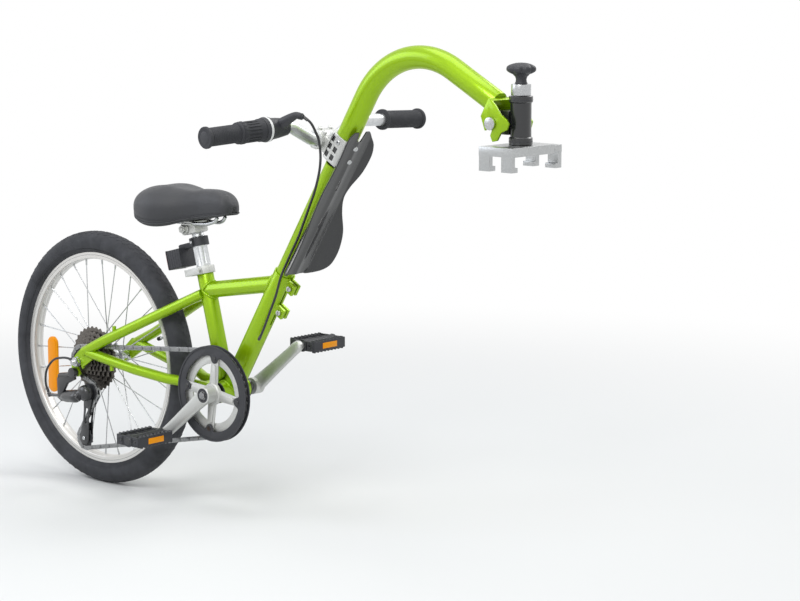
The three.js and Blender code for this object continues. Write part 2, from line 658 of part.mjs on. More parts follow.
const spokeRise = -spokeTable.spokes_right[0] / (rimInner - half(hub.spokeCircle));
const reflectorNear = Math.hypot(
  reflector.reach - half(reflector.width), 0);
const reflectorFace = spokeRise * (rimInner - reflectorNear) + spokeRadius * 1.4 + gap;
place('wheel_reflector', sheet(
  capsule(-reflector.reach, -reflector.drop - half(reflector.height) + half(reflector.width),
    half(reflector.width), -reflector.reach,
    -reflector.drop + half(reflector.height) - half(reflector.width), half(reflector.width), 4),
  -reflectorFace - reflector.thickness, -reflectorFace,
), amber, wheelHome);

const spacerEnd = stay.dropoutInner - gap;
const spacerRadius = hubAxle + hub.nutHeight / 2;
const nutFace = outer + gap;
place('wheel_axle', turnedY([
  [0, -half(hub.axleLength)], [hubAxle, -half(hub.axleLength)], [hubAxle, -nutFace - hub.nutHeight],
  [half(hub.nut), -nutFace - hub.nutHeight], [half(hub.nut), -nutFace], [hubAxle, -nutFace],
  [hubAxle, -spacerEnd], [spacerRadius, -spacerEnd], [spacerRadius, -cassette.lockRingEnd - gap],
  [hubAxle, -cassette.lockRingEnd - gap], [hubAxle, hub.leftEnd + gap],
  [spacerRadius, hub.leftEnd + gap], [spacerRadius, spacerEnd], [hubAxle, spacerEnd],
  [hubAxle, nutFace], [half(hub.nut), nutFace], [half(hub.nut), nutFace + hub.nutHeight],
  [hubAxle, nutFace + hub.nutHeight], [hubAxle, half(hub.axleLength)], [0, half(hub.axleLength)],
], sides.small), steel, wheelHome);

// gears
const cogHalf = half(cassette.cogThickness);
const cogLine = (i) => cassette.first + i * cassette.spacing;
place('cassette', cut(
  join(
    turnedY([
      [0, -cassette.lockRingEnd], [half(cassette.lockRing), -cassette.lockRingEnd],
      [half(cassette.body), -cogLine(cassette.teeth.length - 1)],
      [half(cassette.body), -cassette.bodyStart], [0, -cassette.bodyStart],
    ]),
    ...cassette.teeth.map((teeth, i) => sheet(
      toothed(teeth, pitchRadius(teeth)), -cogLine(i) - cogHalf, -cogLine(i) + cogHalf)),
  ),
  rodY(0, 0, -cassette.lockRingEnd - overrun, 0, hubBore, sides.small),
), steel, wheelHome);

const smallLine = cogLine(cassette.teeth.length - 1);
const smallTeeth = cassette.teeth[cassette.teeth.length - 1];
const pulleyPitch = pitchRadius(changer.pulleyTeeth);
const guide = V(changer.pulleyAhead, -smallLine, axle.z - changer.pulleyBelow);
const tension = V(changer.tensionAhead, -smallLine, axle.z - changer.tensionBelow);
const belt = [
  [axle.x, axle.z, pitchRadius(smallTeeth), -1, smallLine],
  [centre.x, centre.z, pitchRadius(ringSize.teeth), -1, ringSize.line],
  [tension.x, tension.z, pulleyPitch, -1, smallLine],
  [guide.x, guide.z, pulleyPitch, 1, smallLine],
];
const headings = belt.map(([x, z, r, way], i) => {
  const [x1, z1, r1, way1] = belt[(i + 1) % belt.length];
  const far = Math.hypot(x1 - x, z1 - z);
  return Math.atan2(z1 - z, x1 - x) - Math.asin((r1 * way1 - r * way) / far);
});
const beltPoints = [];
const sagitta = 0.7;
belt.forEach(([x, z, r, way, line], i) => {
  const into = headings[(i + belt.length - 1) % belt.length];
  let swing = headings[i] - into;
  while (swing * way < 0) swing += way * 2 * Math.PI;
  while (swing * way > 2 * Math.PI) swing -= way * 2 * Math.PI;
  const count = Math.max(3, Math.ceil(Math.abs(swing) / (2 * Math.acos(1 - sagitta / r))));
  for (let k = 0; k <= count; k += 1) {
    const a = into + (k / count) * swing;
    beltPoints.push(V(x + r * way * Math.sin(a), -line, z - r * way * Math.cos(a)));
  }
});

function closedBand(points, section, across) {
  const loop = [...points, points[0].clone()];
  const geometry = new THREE.ExtrudeGeometry(section, {
    steps: loop.length - 1, extrudePath: new Route(loop, across, true), bevelEnabled: false,
  });
  const walls = geometry.groups.find((group) => group.materialIndex === 1);
  const bare = new THREE.BufferGeometry();
  const from = walls.start * 3;
  bare.setAttribute('position', new THREE.BufferAttribute(
    geometry.attributes.position.array.slice(from, from + walls.count * 3), 3));
  return toGeometry(toSolid(bare));
}

const [bandHalf, bandUp, bandIn, bandWeb] = [
  half(chainSize.width), half(chainSize.height), half(chainSize.groove), half(chainSize.web)];
const bandSection = outlineShape([
  [-bandUp, -bandHalf], [-bandUp, -bandIn], [-bandWeb, -bandIn], [-bandWeb, bandIn], [-bandUp, bandIn],
  [-bandUp, bandHalf], [bandUp, bandHalf], [bandUp, bandIn], [bandWeb, bandIn], [bandWeb, -bandIn],
  [bandUp, -bandIn], [bandUp, -bandHalf],
]);
place('chain', closedBand(beltPoints, bandSection, V(0, 1, 0)), steel);

// crank
const armStep = (2 * Math.PI) / crank.arms;
const ringRoom = ringSize.line + half(ringSize.thickness);
const ringBack = ringSize.line - half(ringSize.thickness);
const ringPitch = pitchRadius(ringSize.teeth);
const postRadius = half(ringSize.post);
// The crank lies midway between two arms of its spider.
const armAt = (i, radius) => [
  radius * Math.cos((i + half(1)) * armStep), radius * Math.sin((i + half(1)) * armStep)];
const armsIndex = Array.from({ length: crank.arms }, (_, i) => i);
const postReach = half(ringSize.inner) + postRadius + 2 * gap + 1.6 * postRadius;

place('chainring', sheet(
  toothed(ringSize.teeth, ringPitch), -ringRoom, -ringBack,
  [circlePoints(half(ringSize.inner), sides.large), ...armsIndex.map((i) => circlePoints(
    bore(postRadius, sides.tiny), sides.tiny, ...armAt(i, postReach)))],
), silver, crankHome);

const guardFace = ringSize.outerGuard - half(ringSize.guardThickness);
const guardOut = ringSize.outerGuard + half(ringSize.guardThickness);
const innerFace = ringSize.innerGuard - half(ringSize.guardThickness);
const innerBack = ringSize.innerGuard + half(ringSize.guardThickness);
const guardHole = (inset) => [circlePoints(half(ringSize.guardInner) - inset, sides.large)];
const guardRound = circlePoints(half(ringSize.guard), 24);
place('chain_guard', join(
  sheet(guardRound, -guardOut, -guardFace, guardHole(0)),
  sheet(guardRound, -innerBack, -innerFace, guardHole(0)),
  ...armsIndex.flatMap((i) => {
    const [px, pz] = armAt(i, postReach);
    const [gx, gz] = armAt(i, half(ringSize.guardInner) + ringSize.guardThickness);
    const web = (y0, y1) => sheet(
      capsule(px, pz, half(ringSize.tab), gx, gz, half(ringSize.tab) - gap, 2), y0, y1);
    return [
      rodY(px, pz, -guardOut, -innerFace, postRadius, sides.tiny),
      web(-guardOut, -guardFace), web(-innerBack, -innerFace),
    ];
  }),
), black, crankHome);

const axleBore = bore(half(crank.axle), sides.medium);
const armFace = ringRoom + gap;
const throughBoss = (y0, y1) => rodY(0, 0, y0, y1, axleBore, sides.medium);
place('crank_arm_right', cut(
  join(
    rodY(0, 0, -crank.bossOuter, -armFace, half(crank.boss)),
    sheet(capsule(0, 0, half(crank.boss) - gap, crank.length, 0, half(crank.eye)),
      -crank.armOuter, -crank.armInner),
    ...armsIndex.map((i) => sheet(
      capsule(0, 0, half(crank.boss) * 0.7, ...armAt(i, postReach), half(ringSize.tab) - gap, 4),
      -armFace - ringSize.armThickness, -armFace,
      [circlePoints(bore(postRadius, sides.tiny), sides.tiny, ...armAt(i, postReach))])),
    rodY(crank.length, 0, -crank.armOuter - pedal.start - pedal.width + pedal.capGap,
      -crank.armOuter + overrun, half(crank.spindle)),
  ),
  throughBoss(-crank.bossOuter - overrun, 0),
), silver, crankHome);

place('crank_arm_left', cut(
  join(
    rodY(0, 0, crank.leftBossInner, crank.bossOuter, half(crank.boss)),
    sheet(capsule(0, 0, half(crank.boss) - gap, -crank.length, 0, half(crank.eye)),
      crank.armInner, crank.armOuter),
    rodY(-crank.length, 0, crank.armOuter - overrun,
      crank.armOuter + pedal.start + pedal.width - pedal.capGap, half(crank.spindle)),
  ),
  throughBoss(0, crank.bossOuter + overrun),
), silver, crankHome);

const boltFace = crank.bossOuter + gap;
place('crank_axle', turnedY([
  [0, -boltFace - crank.boltHeight], [half(crank.bolt), -boltFace - crank.boltHeight],
  [half(crank.bolt), -boltFace], [half(crank.axle), -boltFace], [half(crank.axle), boltFace],
  [half(crank.bolt), boltFace], [half(crank.bolt), boltFace + crank.boltHeight],
  [0, boltFace + crank.boltHeight],
]), steel, crankHome);

// pedals: built level, at the end of each arm
function pedalShape(side) {
  const [w, l, h] = [pedal.width, half(pedal.length), half(pedal.height)];
  const y0 = crank.armOuter + pedal.start;
  const ys = (a, b) => [side * (y0 + a), side * (y0 + b)].sort((p, q) => p - q);
  const teeth = 5;
  const edge = (z, way) => Array.from({ length: teeth * 2 + 1 }, (_, i) => [
    y0 + (w * i) / (teeth * 2), z + way * (i % 2 ? pedal.tooth : 0)]);
  const barOutline = [...edge(-h + pedal.tooth, -1), ...edge(h - pedal.tooth, 1).reverse()]
    .map(([y, z]) => [side * y, z]);
  const toothedBar = (x) => raised(barOutline, -half(pedal.bar), half(pedal.bar))
    .rotateX(Math.PI / 2).rotateZ(Math.PI / 2).translate(x, 0, 0);
  const plate = capsule(-l + h, 0, h - pedal.tooth, l - h, 0, h - pedal.tooth, 4);
  const barX = l - half(pedal.bar);
  return cut(
    join(
      rodY(0, 0, ...ys(0, w), half(pedal.barrel), sides.small),
      sheet(plate, ...ys(0, pedal.endPlate)), sheet(plate, ...ys(w - pedal.endPlate, w)),
      toothedBar(barX), toothedBar(-barX),
    ),
    rodY(0, 0, ...ys(-overrun, w - pedal.capGap + gap), bore(half(crank.spindle)) + gap, sides.small),
  );
}
const armWay = V(Math.cos(rad(crank.angle)), 0, -Math.sin(rad(crank.angle)));
place('pedal_right', pedalShape(-1), black, home(
  centre.clone().addScaledVector(armWay, crank.length)));
place('pedal_left', pedalShape(1), black, home(
  centre.clone().addScaledVector(armWay, -crank.length)));

// gear changer: hung on the right dropout, swung in by a slanted link
const slantAxis = V(0, Math.sin(rad(changer.slant)), Math.cos(rad(changer.slant)));
const restTurn = about(slantAxis, -changer.outward);
const linkWay = V(1, 0, 0).applyQuaternion(restTurn);
const knuckleAt = V(changer.pinAhead, -changer.pinOut, axle.z - changer.pinBelow);
const linkAt = knuckleAt.clone().addScaledVector(linkWay, -changer.linkLength);
const slantTurn = restTurn.clone().multiply(
  new THREE.Quaternion().setFromUnitVectors(V(0, 0, 1), slantAxis));
const linkHome = home(linkAt, slantTurn);
const [linkHalf, linkRound] = [half(changer.linkHeight), half(changer.linkWidth)];
const pinRadius = half(changer.pin);
const pinBore = bore(pinRadius, sides.tiny) + half(gap);
place('derailleur_link', raised(
  capsule(0, 0, linkRound, changer.linkLength, 0, linkRound), -linkHalf, linkHalf,
  [circlePoints(pinBore, sides.tiny), circlePoints(pinBore, sides.tiny, changer.linkLength, 0)],
), black, linkHome);

// A fork over one end of the link, with its pin; way is +1 ahead of the link, -1 behind it.
function fork(x, way) {
  const inside = linkHalf + gap;
  const outside = inside + changer.ear;
  const back = linkRound + gap + 1 * gap;
  const xs = [x + way * back, x + way * (back + changer.block)].sort((a, b) => a - b);
  const ear = capsule(x, 0, linkRound, x + way * back, 0, linkRound);
  return join(
    raised(ear, inside, outside), raised(ear, -outside, -inside),
    block(...xs, -linkRound, linkRound, -outside, outside),
    rod(V(x, 0, -outside), V(x, 0, outside), pinRadius, sides.tiny),
  );
}
const inLink = (geometry) => {
  const moved = geometry.clone();
  return moved.applyMatrix4(new THREE.Matrix4().compose(linkAt, slantTurn, V(1, 1, 1)));
};
const backBlock = V(-linkRound - changer.block * 0.8, 0, 0).applyQuaternion(slantTurn).add(linkAt);
const bossY = outer + gap;
const bossEnd = bossY + changer.bossLength;
// The short loop behind the dropout, to the changer's own adjuster.
const loopRoute = [
  [-16.4, -63.8, 250], [-30, -66, 253], [-46, -67, 252], [-66, -68, 247], [-84, -66, 235], [-96, -65, 220],
  [-101, -64, 202], [-100, -63, 188], [-94, -62.5, 176],
].map(([x, y, z]) => V(x, y, z));
const loopEnd = loopRoute[loopRoute.length - 1];
const loopWay = loopEnd.clone().sub(loopRoute[loopRoute.length - 2]).normalize();
const adjusterFrom = loopEnd.clone().addScaledVector(loopWay, gap);
const adjusterTo = adjusterFrom.clone().addScaledVector(loopWay, changer.adjuster);
place('derailleur_bracket', join(
  rod(adjusterFrom, adjusterTo, half(changer.adjusterWide), sides.tiny),
  rod(adjusterTo.clone().addScaledVector(loopWay, -half(changer.adjuster)), backBlock,
    half(changer.adjusterWide) * 0.8, sides.tiny),
  inLink(fork(0, -1)),
  rodY(hanger.x, hanger.z, -bossEnd, -bossY, half(changer.boss)),
  rodY(hanger.x, hanger.z, -bossEnd, -stay.dropoutInner, half(changer.hangerBolt), sides.small),
  roundBar([V(hanger.x, -bossEnd + half(changer.block), hanger.z),
    V(half(hanger.x + backBlock.x), -bossEnd + half(changer.block), hanger.z - changer.block),
    V(backBlock.x, half(backBlock.y - bossEnd), hanger.z - half(changer.hangerBelow)), backBlock],
  linkRound * 0.65, sides.tiny),
), black);

const housingEnd = changer.housingStart + changer.housingLength;
const forkFront = V(changer.linkLength + linkRound + changer.block / 2, 0, 0)
  .applyQuaternion(slantTurn).add(linkAt);
place('derailleur_knuckle', cut(
  join(
    inLink(fork(changer.linkLength, 1)),
    rodY(guide.x, guide.z, -housingEnd, -changer.housingStart, half(changer.housing)),
    rod(V(guide.x, -housingEnd + changer.housingLength / 2, guide.z), forkFront, linkRound * 0.7,
      sides.tiny),
  ),
  rodY(guide.x, guide.z, -changer.housingStart - changer.pivotLength - gap, -changer.housingStart + overrun,
    bore(half(changer.pivot)) + half(gap), sides.small),
), black);

const plateIn = half(changer.plateGap);
const plateOut = plateIn + changer.plate;
const plateEnd = half(changer.plateEnd);
const cagePlate = capsule(guide.x, guide.z, plateEnd, tension.x, tension.z, plateEnd);
place('derailleur_cage', join(
  sheet(cagePlate, -smallLine - plateOut, -smallLine - plateIn),
  sheet(cagePlate, -smallLine + plateIn, -smallLine + plateOut),
  rodY(guide.x, guide.z, -smallLine - plateOut, -smallLine + plateOut, half(changer.bolt), sides.tiny),
  rodY(tension.x, tension.z, -smallLine - plateOut, -smallLine + plateOut, half(changer.bolt), sides.tiny),
  rodY(guide.x, guide.z, -changer.housingStart - changer.pivotLength, -smallLine - plateIn,
    half(changer.pivot), sides.small),
), black);

const pulley = () => {
  const wide = half(changer.pulleyHub);
  const thin = half(changer.pulleyThickness);
  return cut(
    join(
      sheet(toothed(changer.pulleyTeeth, pulleyPitch), -thin, thin),
      rodY(0, 0, -wide, wide, half(pulleyPitch)),
    ),
    rodY(0, 0, -wide - overrun, wide + overrun, bore(half(changer.bolt), sides.tiny) + half(gap),
      sides.tiny),
  );
};
place('guide_pulley', pulley(), black, home(guide));
place('tension_pulley', pulley(), black, home(tension));

// seat
const collarTop = seatTube.length;
const collarLow = collarTop - seatCollar.height;
const collarBore = bore(seatRadius);
const collarOuter = seatRadius + gap + seatCollar.thickness;
const slitHalf = half(seatCollar.slit);
const earEnd = slitHalf + seatCollar.earThick;
const collarMid = (collarLow + collarTop) / 2;
const camRadius = half(lever.cam);
const camY = -earEnd - gap - camRadius;
const qrRadius = half(seatCollar.bolt);
place('seat_collar', join(
  cut(
    join(
      rod(V(0, 0, collarLow), V(0, 0, collarTop), collarOuter),
      block(-seatCollar.earReach, 0, -earEnd, earEnd, collarLow, collarTop),
    ),
    rod(V(0, 0, collarLow - overrun), V(0, 0, collarTop + overrun), collarBore),
    block(-seatCollar.earReach - overrun, 0, -slitHalf, slitHalf, collarLow - overrun,
      collarTop + overrun),
  ),
  rodY(-seatCollar.boltBack, collarMid, camY + half(seatCollar.eye) - gap, earEnd + seatCollar.nutHeight,
    qrRadius, sides.tiny),
  rodY(-seatCollar.boltBack, collarMid, earEnd, earEnd + seatCollar.nutHeight, half(seatCollar.nut), 6),
  raised(circlePoints(half(seatCollar.eye), sides.small, -seatCollar.boltBack, camY),
    collarMid - half(seatCollar.eyeHeight), collarMid + half(seatCollar.eyeHeight),
    [circlePoints(bore(half(seatCollar.pin), sides.tiny) + half(gap), sides.tiny,
      -seatCollar.boltBack, camY)]),
), silver, seatHome);

const eyeTop = half(seatCollar.eyeHeight) + gap;
const cheekTop = eyeTop + lever.cheek;
const armY = camY - camRadius - half(lever.thickness);
const armOut = -half(lever.thickness);
place('seat_lever', (() => {
  const cheek = (z0, z1) => raised(
    capsule(0, 0, camRadius - gap, 0, armY - camY, camRadius - lever.thickness), z0, z1);
  const arm = raised(
    [[-camRadius * lever.heel, armY - camY + armOut], [lever.arm, armY - camY + armOut - lever.thickness],
      [lever.arm, armY - camY - lever.thickness + gap], [camRadius, armY - camY - armOut],
      [-camRadius * lever.heel, armY - camY - armOut]], -cheekTop, cheekTop);
  return join(cheek(eyeTop, cheekTop), cheek(-cheekTop, -eyeTop), arm,
    rod(V(0, 0, -cheekTop), V(0, 0, cheekTop), half(seatCollar.pin), sides.tiny))
    .translate(-seatCollar.boltBack, camY, collarMid);
})(), silver, seatHome);

const postBody = half(seatPost.diameter);
const neckRadius = half(seatPost.neck);
const aboveTube = (height) => seatTube.length + height;
const [shoulderAt, neckTopAt] = [seatPost.shoulder, seatPost.neckTop].map(aboveTube);
const postBottom = seatTube.length - seatPost.inside;
place('seatpost', cut(
  turned([
    [0, postBottom], [postBody, postBottom], [postBody, shoulderAt],
    [neckRadius, shoulderAt], [neckRadius, neckTopAt], [0, neckTopAt],
  ]),
  ...[0, 90].map((turn) => block(
    -half(seatPost.groove), half(seatPost.groove), -postBody - overrun,
    -postBody + seatPost.grooveDepth, aboveTube(seatPost.grooveFrom), aboveTube(seatPost.grooveTo)).rotateZ(rad(turn))),
), silver, seatHome);

const bandRadius = half(lamp.band);
const [bandFrom, bandTo, lampLow, lampHigh] = [
  lamp.bandFrom, lamp.bandTo, lamp.bodyLow, lamp.bodyHigh].map(aboveTube);
place('rear_reflector', cut(
  join(
    rod(V(0, 0, bandFrom), V(0, 0, bandTo), bandRadius),
    block(-lamp.bodyFront - overrun, -bandRadius + overrun, -half(lamp.arm), half(lamp.arm),
      bandFrom, bandFrom + lamp.armHeight),
    block(-lamp.bodyFront - lamp.arm, -lamp.bodyFront, -half(lamp.arm), half(lamp.arm),
      lampHigh - overrun, bandFrom + lamp.armHeight),
    block(-lamp.bodyBack, -lamp.bodyFront, -half(lamp.bodyWidth), half(lamp.bodyWidth), lampLow,
      lampHigh),
    block(-lamp.bodyBack - lamp.lens, -lamp.bodyBack, -half(lamp.bodyWidth) + lamp.lensInset,
      half(lamp.bodyWidth) - lamp.lensInset, lampLow + lamp.lensInset,
      lampHigh - lamp.lensInset),
  ),
  rod(V(0, 0, bandFrom - overrun), V(0, 0, bandTo + overrun), seatBore),
), black, seatHome);

// saddle, level, above the top of the post's neck
const neckTop = onSeat(neckTopAt);
const saddleHome = home(neckTop);
// Along the saddle from its tail: half width, crown, edge of the skirt and underside, as shares
// of the half width and the height.
const saddleShares = [
  [0, 0.62, 0.66, 0.4, 0.46], [0.08, 0.82, 0.83, 0.2, 0.45], [0.18, 0.95, 0.95, 0.06, 0.42],
  [0.32, 1, 1, 0, 0.42], [0.45, 0.86, 0.96, 0.03, 0.42], [0.58, 0.58, 0.92, 0.14, 0.42],
  [0.7, 0.42, 0.94, 0.22, 0.42], [0.82, 0.37, 0.95, 0.28, 0.44], [0.92, 0.33, 0.88, 0.33, 0.46],
  [1, 0.27, 0.68, 0.38, 0.46],
];
function sharesAt(along) {
  let i = 0;
  while (i < saddleShares.length - 2 && saddleShares[i + 1][0] < along) i += 1;
  const [a, b] = [saddleShares[i], saddleShares[i + 1]];
  const t = THREE.MathUtils.smoothstep(along, a[0], b[0]) * 0.5
    + 0.5 * ((along - a[0]) / (b[0] - a[0]));
  return a.map((value, k) => value + (b[k] - value) * t);
}
function cushion(drop = 0, shrink = 0) {
  const geometry = new THREE.SphereGeometry(1, 20, 22).rotateZ(-Math.PI / 2);
  const at = geometry.attributes.position;
  for (let i = 0; i < at.count; i += 1) {
    const [ux, uy, uz] = [at.getX(i), at.getY(i), at.getZ(i)];
    const along = THREE.MathUtils.clamp((1 + ux) / 2, 0, 1);
    const [, wide, crown, edge, under] = sharesAt(along);
    const ring = Math.hypot(uy, uz);
    const end = Math.sqrt(Math.max(0, 1 - Math.abs(ux) ** 5));
    const [cy, cz] = ring > 0.0001 ? [uy / ring, uz / ring] : [0, 0];
    const middle = edge + (crown - edge) * 0.38;
    let up;
    if (cz >= 0) {
      up = middle + (crown - middle) * end * cz ** 0.85;
    } else {
      const deep = -cz;
      const skirt = Math.sin((Math.PI / 2) * Math.min(deep / 0.6, 1));
      const inward = THREE.MathUtils.smoothstep(deep, 0.6, 0.82);
      const hollow = edge + (under - edge) * inward;
      up = middle + ((deep < 0.6 ? middle + (edge - middle) * skirt : hollow) - middle) * end;
    }
    const side = Math.sign(cy) * Math.abs(cy) ** 0.8 * (1 - 0.08 * Math.max(0, -cz));
    at.setXYZ(i, -saddle.back + along * saddle.length,
      half(saddle.width) * wide * end * side - Math.sign(cy) * shrink, up * saddle.height - drop);
  }
  return geometry;
}
place('saddle', cushion(), black, saddleHome);

const shellOutline = [0.1, 0.2, 0.32, 0.45, 0.58, 0.7, 0.82, 0.9].map((along) => {
  const [, wide] = sharesAt(along);
  return [-saddle.back + along * saddle.length, half(saddle.width) * wide * 0.7];
});
place('saddle_shell', cut(
  raised([...shellOutline, ...shellOutline.map(([x, y]) => [x, -y]).reverse()],
    saddle.shellLow, saddle.shellHigh),
  cushion(gap),
), black, saddleHome);

const inSaddle = (geometry) => geometry.clone()
  .rotateY(-rad(seatTube.lean));
const railZ = saddle.railHeight;
const railRadius = half(saddle.rail);
const railTop = saddle.shellLow - gap;
const railSpread = half(saddle.railSpread);
const railLine = (side) => smooth([
  V(-saddle.back * 0.62, side * railSpread * 1.2, railTop),
  V(-saddle.back * 0.5, side * railSpread * 1.1, railZ + railRadius),
  V(-saddle.back * 0.3, side * railSpread, railZ), V(0, side * railSpread, railZ),
  V(saddle.back * 0.3, side * railSpread * 0.75, railZ + gap),
  V(saddle.back * 0.42, side * railSpread * 0.6, railZ + railRadius),
  V(saddle.back * 0.48, side * railSpread * 0.5, railTop),
], 8);
const clampBits = [
  inSaddle(block(-saddle.clampBack, saddle.clampFront, -saddle.clampHalf, saddle.clampHalf,
    -saddle.clampHeight / 2, saddle.clampHeight / 2 - railRadius)),
  block(-saddle.clampFront, saddle.clampFront, -saddle.cradle, saddle.cradle,
    railZ - railRadius - gap, railZ + railRadius + gap),
  ...[-1, 1].map((side) => inSaddle(rodY(-saddle.nutBack, -saddle.nutLow,
    ...[side * (saddle.clampHalf - gap), side * (saddle.clampHalf + saddle.nutLength)].sort((a, b) => a - b),
    half(saddle.nut) * 0.9, sides.small))),
];
place('saddle_rails', cut(
  join(...clampBits, roundBar(railLine(-1), railRadius, sides.tiny),
    roundBar(railLine(1), railRadius, sides.tiny)),
  inSaddle(rod(V(0, 0, -saddle.clampHeight), V(0, 0, gap), bore(neckRadius))),
  block(-saddle.back, saddle.back, -saddle.cradle - overrun, saddle.cradle + overrun, railTop,
    railTop + saddle.height),
), silver, saddleHome);

// mast, coupler and drawbar
function roundedBox(x0, x1, y, corner, steps = 3) {
  const points = [];
  for (const [cx, cy, from] of [
    [x1 - corner, y - corner, 0], [x0 + corner, y - corner, 90], [x0 + corner, -y + corner, 180],
    [x1 - corner, -y + corner, 270]]) {
    for (let i = 0; i <= steps; i += 1) {
      const a = rad(from + (i / steps) * 90);
      points.push([cx + corner * Math.cos(a), cy + corner * Math.sin(a)]);
    }
  }
  return points;
}
const windowAt = (column, row, side) => {
  const x = column ? coupler.columnFront : -coupler.columnBack;
  const z = mast.couplerStart + coupler.windowsFrom + row * coupler.windowPitch;
  const y0 = side * (half(coupler.width) - coupler.windowDepth);
  const y1 = side * (half(coupler.width) + overrun);
  return block(x - half(coupler.windowWidth), x + half(coupler.windowWidth), Math.min(y0, y1),
    Math.max(y0, y1), z, z + coupler.windowHeight);
};
place('coupler', cut(
  raised(roundedBox(-coupler.back, coupler.front, half(coupler.width), coupler.corner),
    mast.couplerStart, couplerEnd),
  rod(V(0, 0, mast.couplerStart - overrun), V(0, 0, couplerEnd + overrun), mastBore),
  ...[-1, 1].flatMap((side) => [0, 1].flatMap((column) => [0, 1, 2]
    .filter((row) => !(column && row === 2)).map((row) => windowAt(column, row, side)))),
), silver, mastHome);

const barRadius = half(drawbar.diameter);
const barStart = onMast(couplerEnd + gap, 0, 0);
const bendStart = barStart.clone().addScaledVector(mastWay, drawbar.lowStraight);
const bendCentre = bendStart.clone().addScaledVector(mastFront, drawbar.bend);
const bendSteps = 7;
const highAngle = mast.angle - drawbar.turn;
const drawRoute = [barStart];
for (let i = 0; i <= bendSteps; i += 1) {
  const a = rad(mast.angle - (drawbar.turn * i) / bendSteps);
  drawRoute.push(bendCentre.clone().add(V(-Math.sin(a), 0, Math.cos(a)).multiplyScalar(drawbar.bend)));
}
const highWay = V(Math.cos(rad(highAngle)), 0, Math.sin(rad(highAngle)));
const highUp = V(-highWay.z, 0, highWay.x);
const barEnd = drawRoute[drawRoute.length - 1].clone().addScaledVector(highWay, drawbar.highStraight);
drawRoute.push(barEnd);
place('drawbar', join(
  swept(drawRoute, outlineShape(circlePoints(barRadius, sides.medium),
    [circlePoints(barRadius - drawbar.wall, sides.tiny)]), V(0, 1, 0)),
  rod(onMast(couplerEnd - drawbar.spigot, 0, 0), onMast(couplerEnd + drawbar.plug, 0, 0), mastRadius - gap),
  rod(barStart, onMast(couplerEnd + drawbar.plug, 0, 0), barRadius - drawbar.wall / 2),
), lime);

// yoke: two plates that drop over the pivot bolt
const pivot = barEnd.clone().add(V(yoke.pivotAhead, 0, -yoke.pivotBelow));
const plateInner = half(yoke.inside);
const plateOuter = plateInner + yoke.plate;
const bridgeAt = (along, up) => {
  const at = barEnd.clone().addScaledVector(highWay, along).addScaledVector(highUp, up);
  return [at.x, at.z];
};
const yokeShares = [
  [-0.43, -0.4], [-0.2, -0.34], [0.1, -0.97], [0.42, -0.9], [0.7, -0.45], [1.1, -0.28], [1.2, 0.05],
  [1.05, 0.26], [0.65, 0.52], [0.3, 0.95],
];
const yokeOutline = [
  bridgeAt(gap, -yoke.bridgeDown),
  ...yokeShares.map(([x, z]) => [pivot.x + x * yoke.pivotBelow, pivot.z + z * yoke.pivotBelow]),
  bridgeAt(gap + yoke.bridge, yoke.bridgeUp), bridgeAt(gap, yoke.bridgeUp),
];
const boltRoom = slotRoom(half(yoke.bolt));
place('yoke', cut(
  join(
    sheet([bridgeAt(gap, -yoke.bridgeDown), bridgeAt(gap + yoke.bridge, -yoke.bridgeDown),
      bridgeAt(gap + yoke.bridge, yoke.bridgeUp), bridgeAt(gap, yoke.bridgeUp)], -plateOuter, plateOuter),
    sheet(yokeOutline, -plateOuter, -plateInner), sheet(yokeOutline, plateInner, plateOuter),
  ),
  sheet(capsule(pivot.x, pivot.z, boltRoom, pivot.x - yoke.pivotBelow * 0.5,
    pivot.z - yoke.pivotBelow * 1.2, boltRoom * 1.15), -plateOuter - overrun, plateOuter + overrun),
), lime);

const boltHead = plateOuter + gap;
place('pivot_bolt', turnedY([
  [0, -boltHead - yoke.boltHeadHeight], [half(yoke.boltHead), -boltHead - yoke.boltHeadHeight],
  [half(yoke.boltHead), -boltHead], [half(yoke.bolt), -boltHead], [half(yoke.bolt), boltHead],
  [half(yoke.boltHead), boltHead], [half(yoke.boltHead), boltHead + yoke.boltHeadHeight],
  [0, boltHead + yoke.boltHeadHeight],
], sides.medium).translate(pivot.x, 0, pivot.z), silver);

// coupling on the carrier: origin under the middle of its base
const hitchAt = V(pivot.x + yoke.headSetback, 0, pivot.z - yoke.basePlane);
const hitchHome = home(hitchAt);
const postRadiusH = half(hitch.post);
const postBore = bore(postRadiusH, sides.large);
const [headRadius, headFlange] = [half(hitch.head), half(hitch.headFlange)];
const barrelHalf = plateInner - hitch.barrelSide;
const pivotUp = yoke.basePlane;
place('head_tube', cut(
  join(
    turned([
      [0, hitch.headBottom], [headFlange, hitch.headBottom],
      [headFlange, hitch.headBottom + hitch.flangeLow], [headRadius, hitch.headBottom + hitch.flangeLow],
      [headRadius, hitch.headTop - hitch.flangeHigh], [headFlange, hitch.headTop - hitch.flangeHigh],
      [headFlange, hitch.headTop], [0, hitch.headTop],
    ], sides.large),
    rodY(-yoke.headSetback, pivotUp, -barrelHalf, barrelHalf, half(hitch.barrel)),
    sheet([[-yoke.headSetback, pivotUp - half(hitch.barrel) * 0.9], [0, pivotUp - hitch.webDown],
      [0, pivotUp + hitch.webUp], [-yoke.headSetback, pivotUp + half(hitch.barrel) * 0.9]],
    -half(hitch.web), half(hitch.web)),
  ),
  rodY(-yoke.headSetback, pivotUp, -barrelHalf - overrun, barrelHalf + overrun,
    bore(half(yoke.bolt)) + half(gap)),
  rod(V(0, 0, 0), V(0, 0, hitch.headTop + overrun), postBore + half(gap), sides.large),
), black, hitchHome);

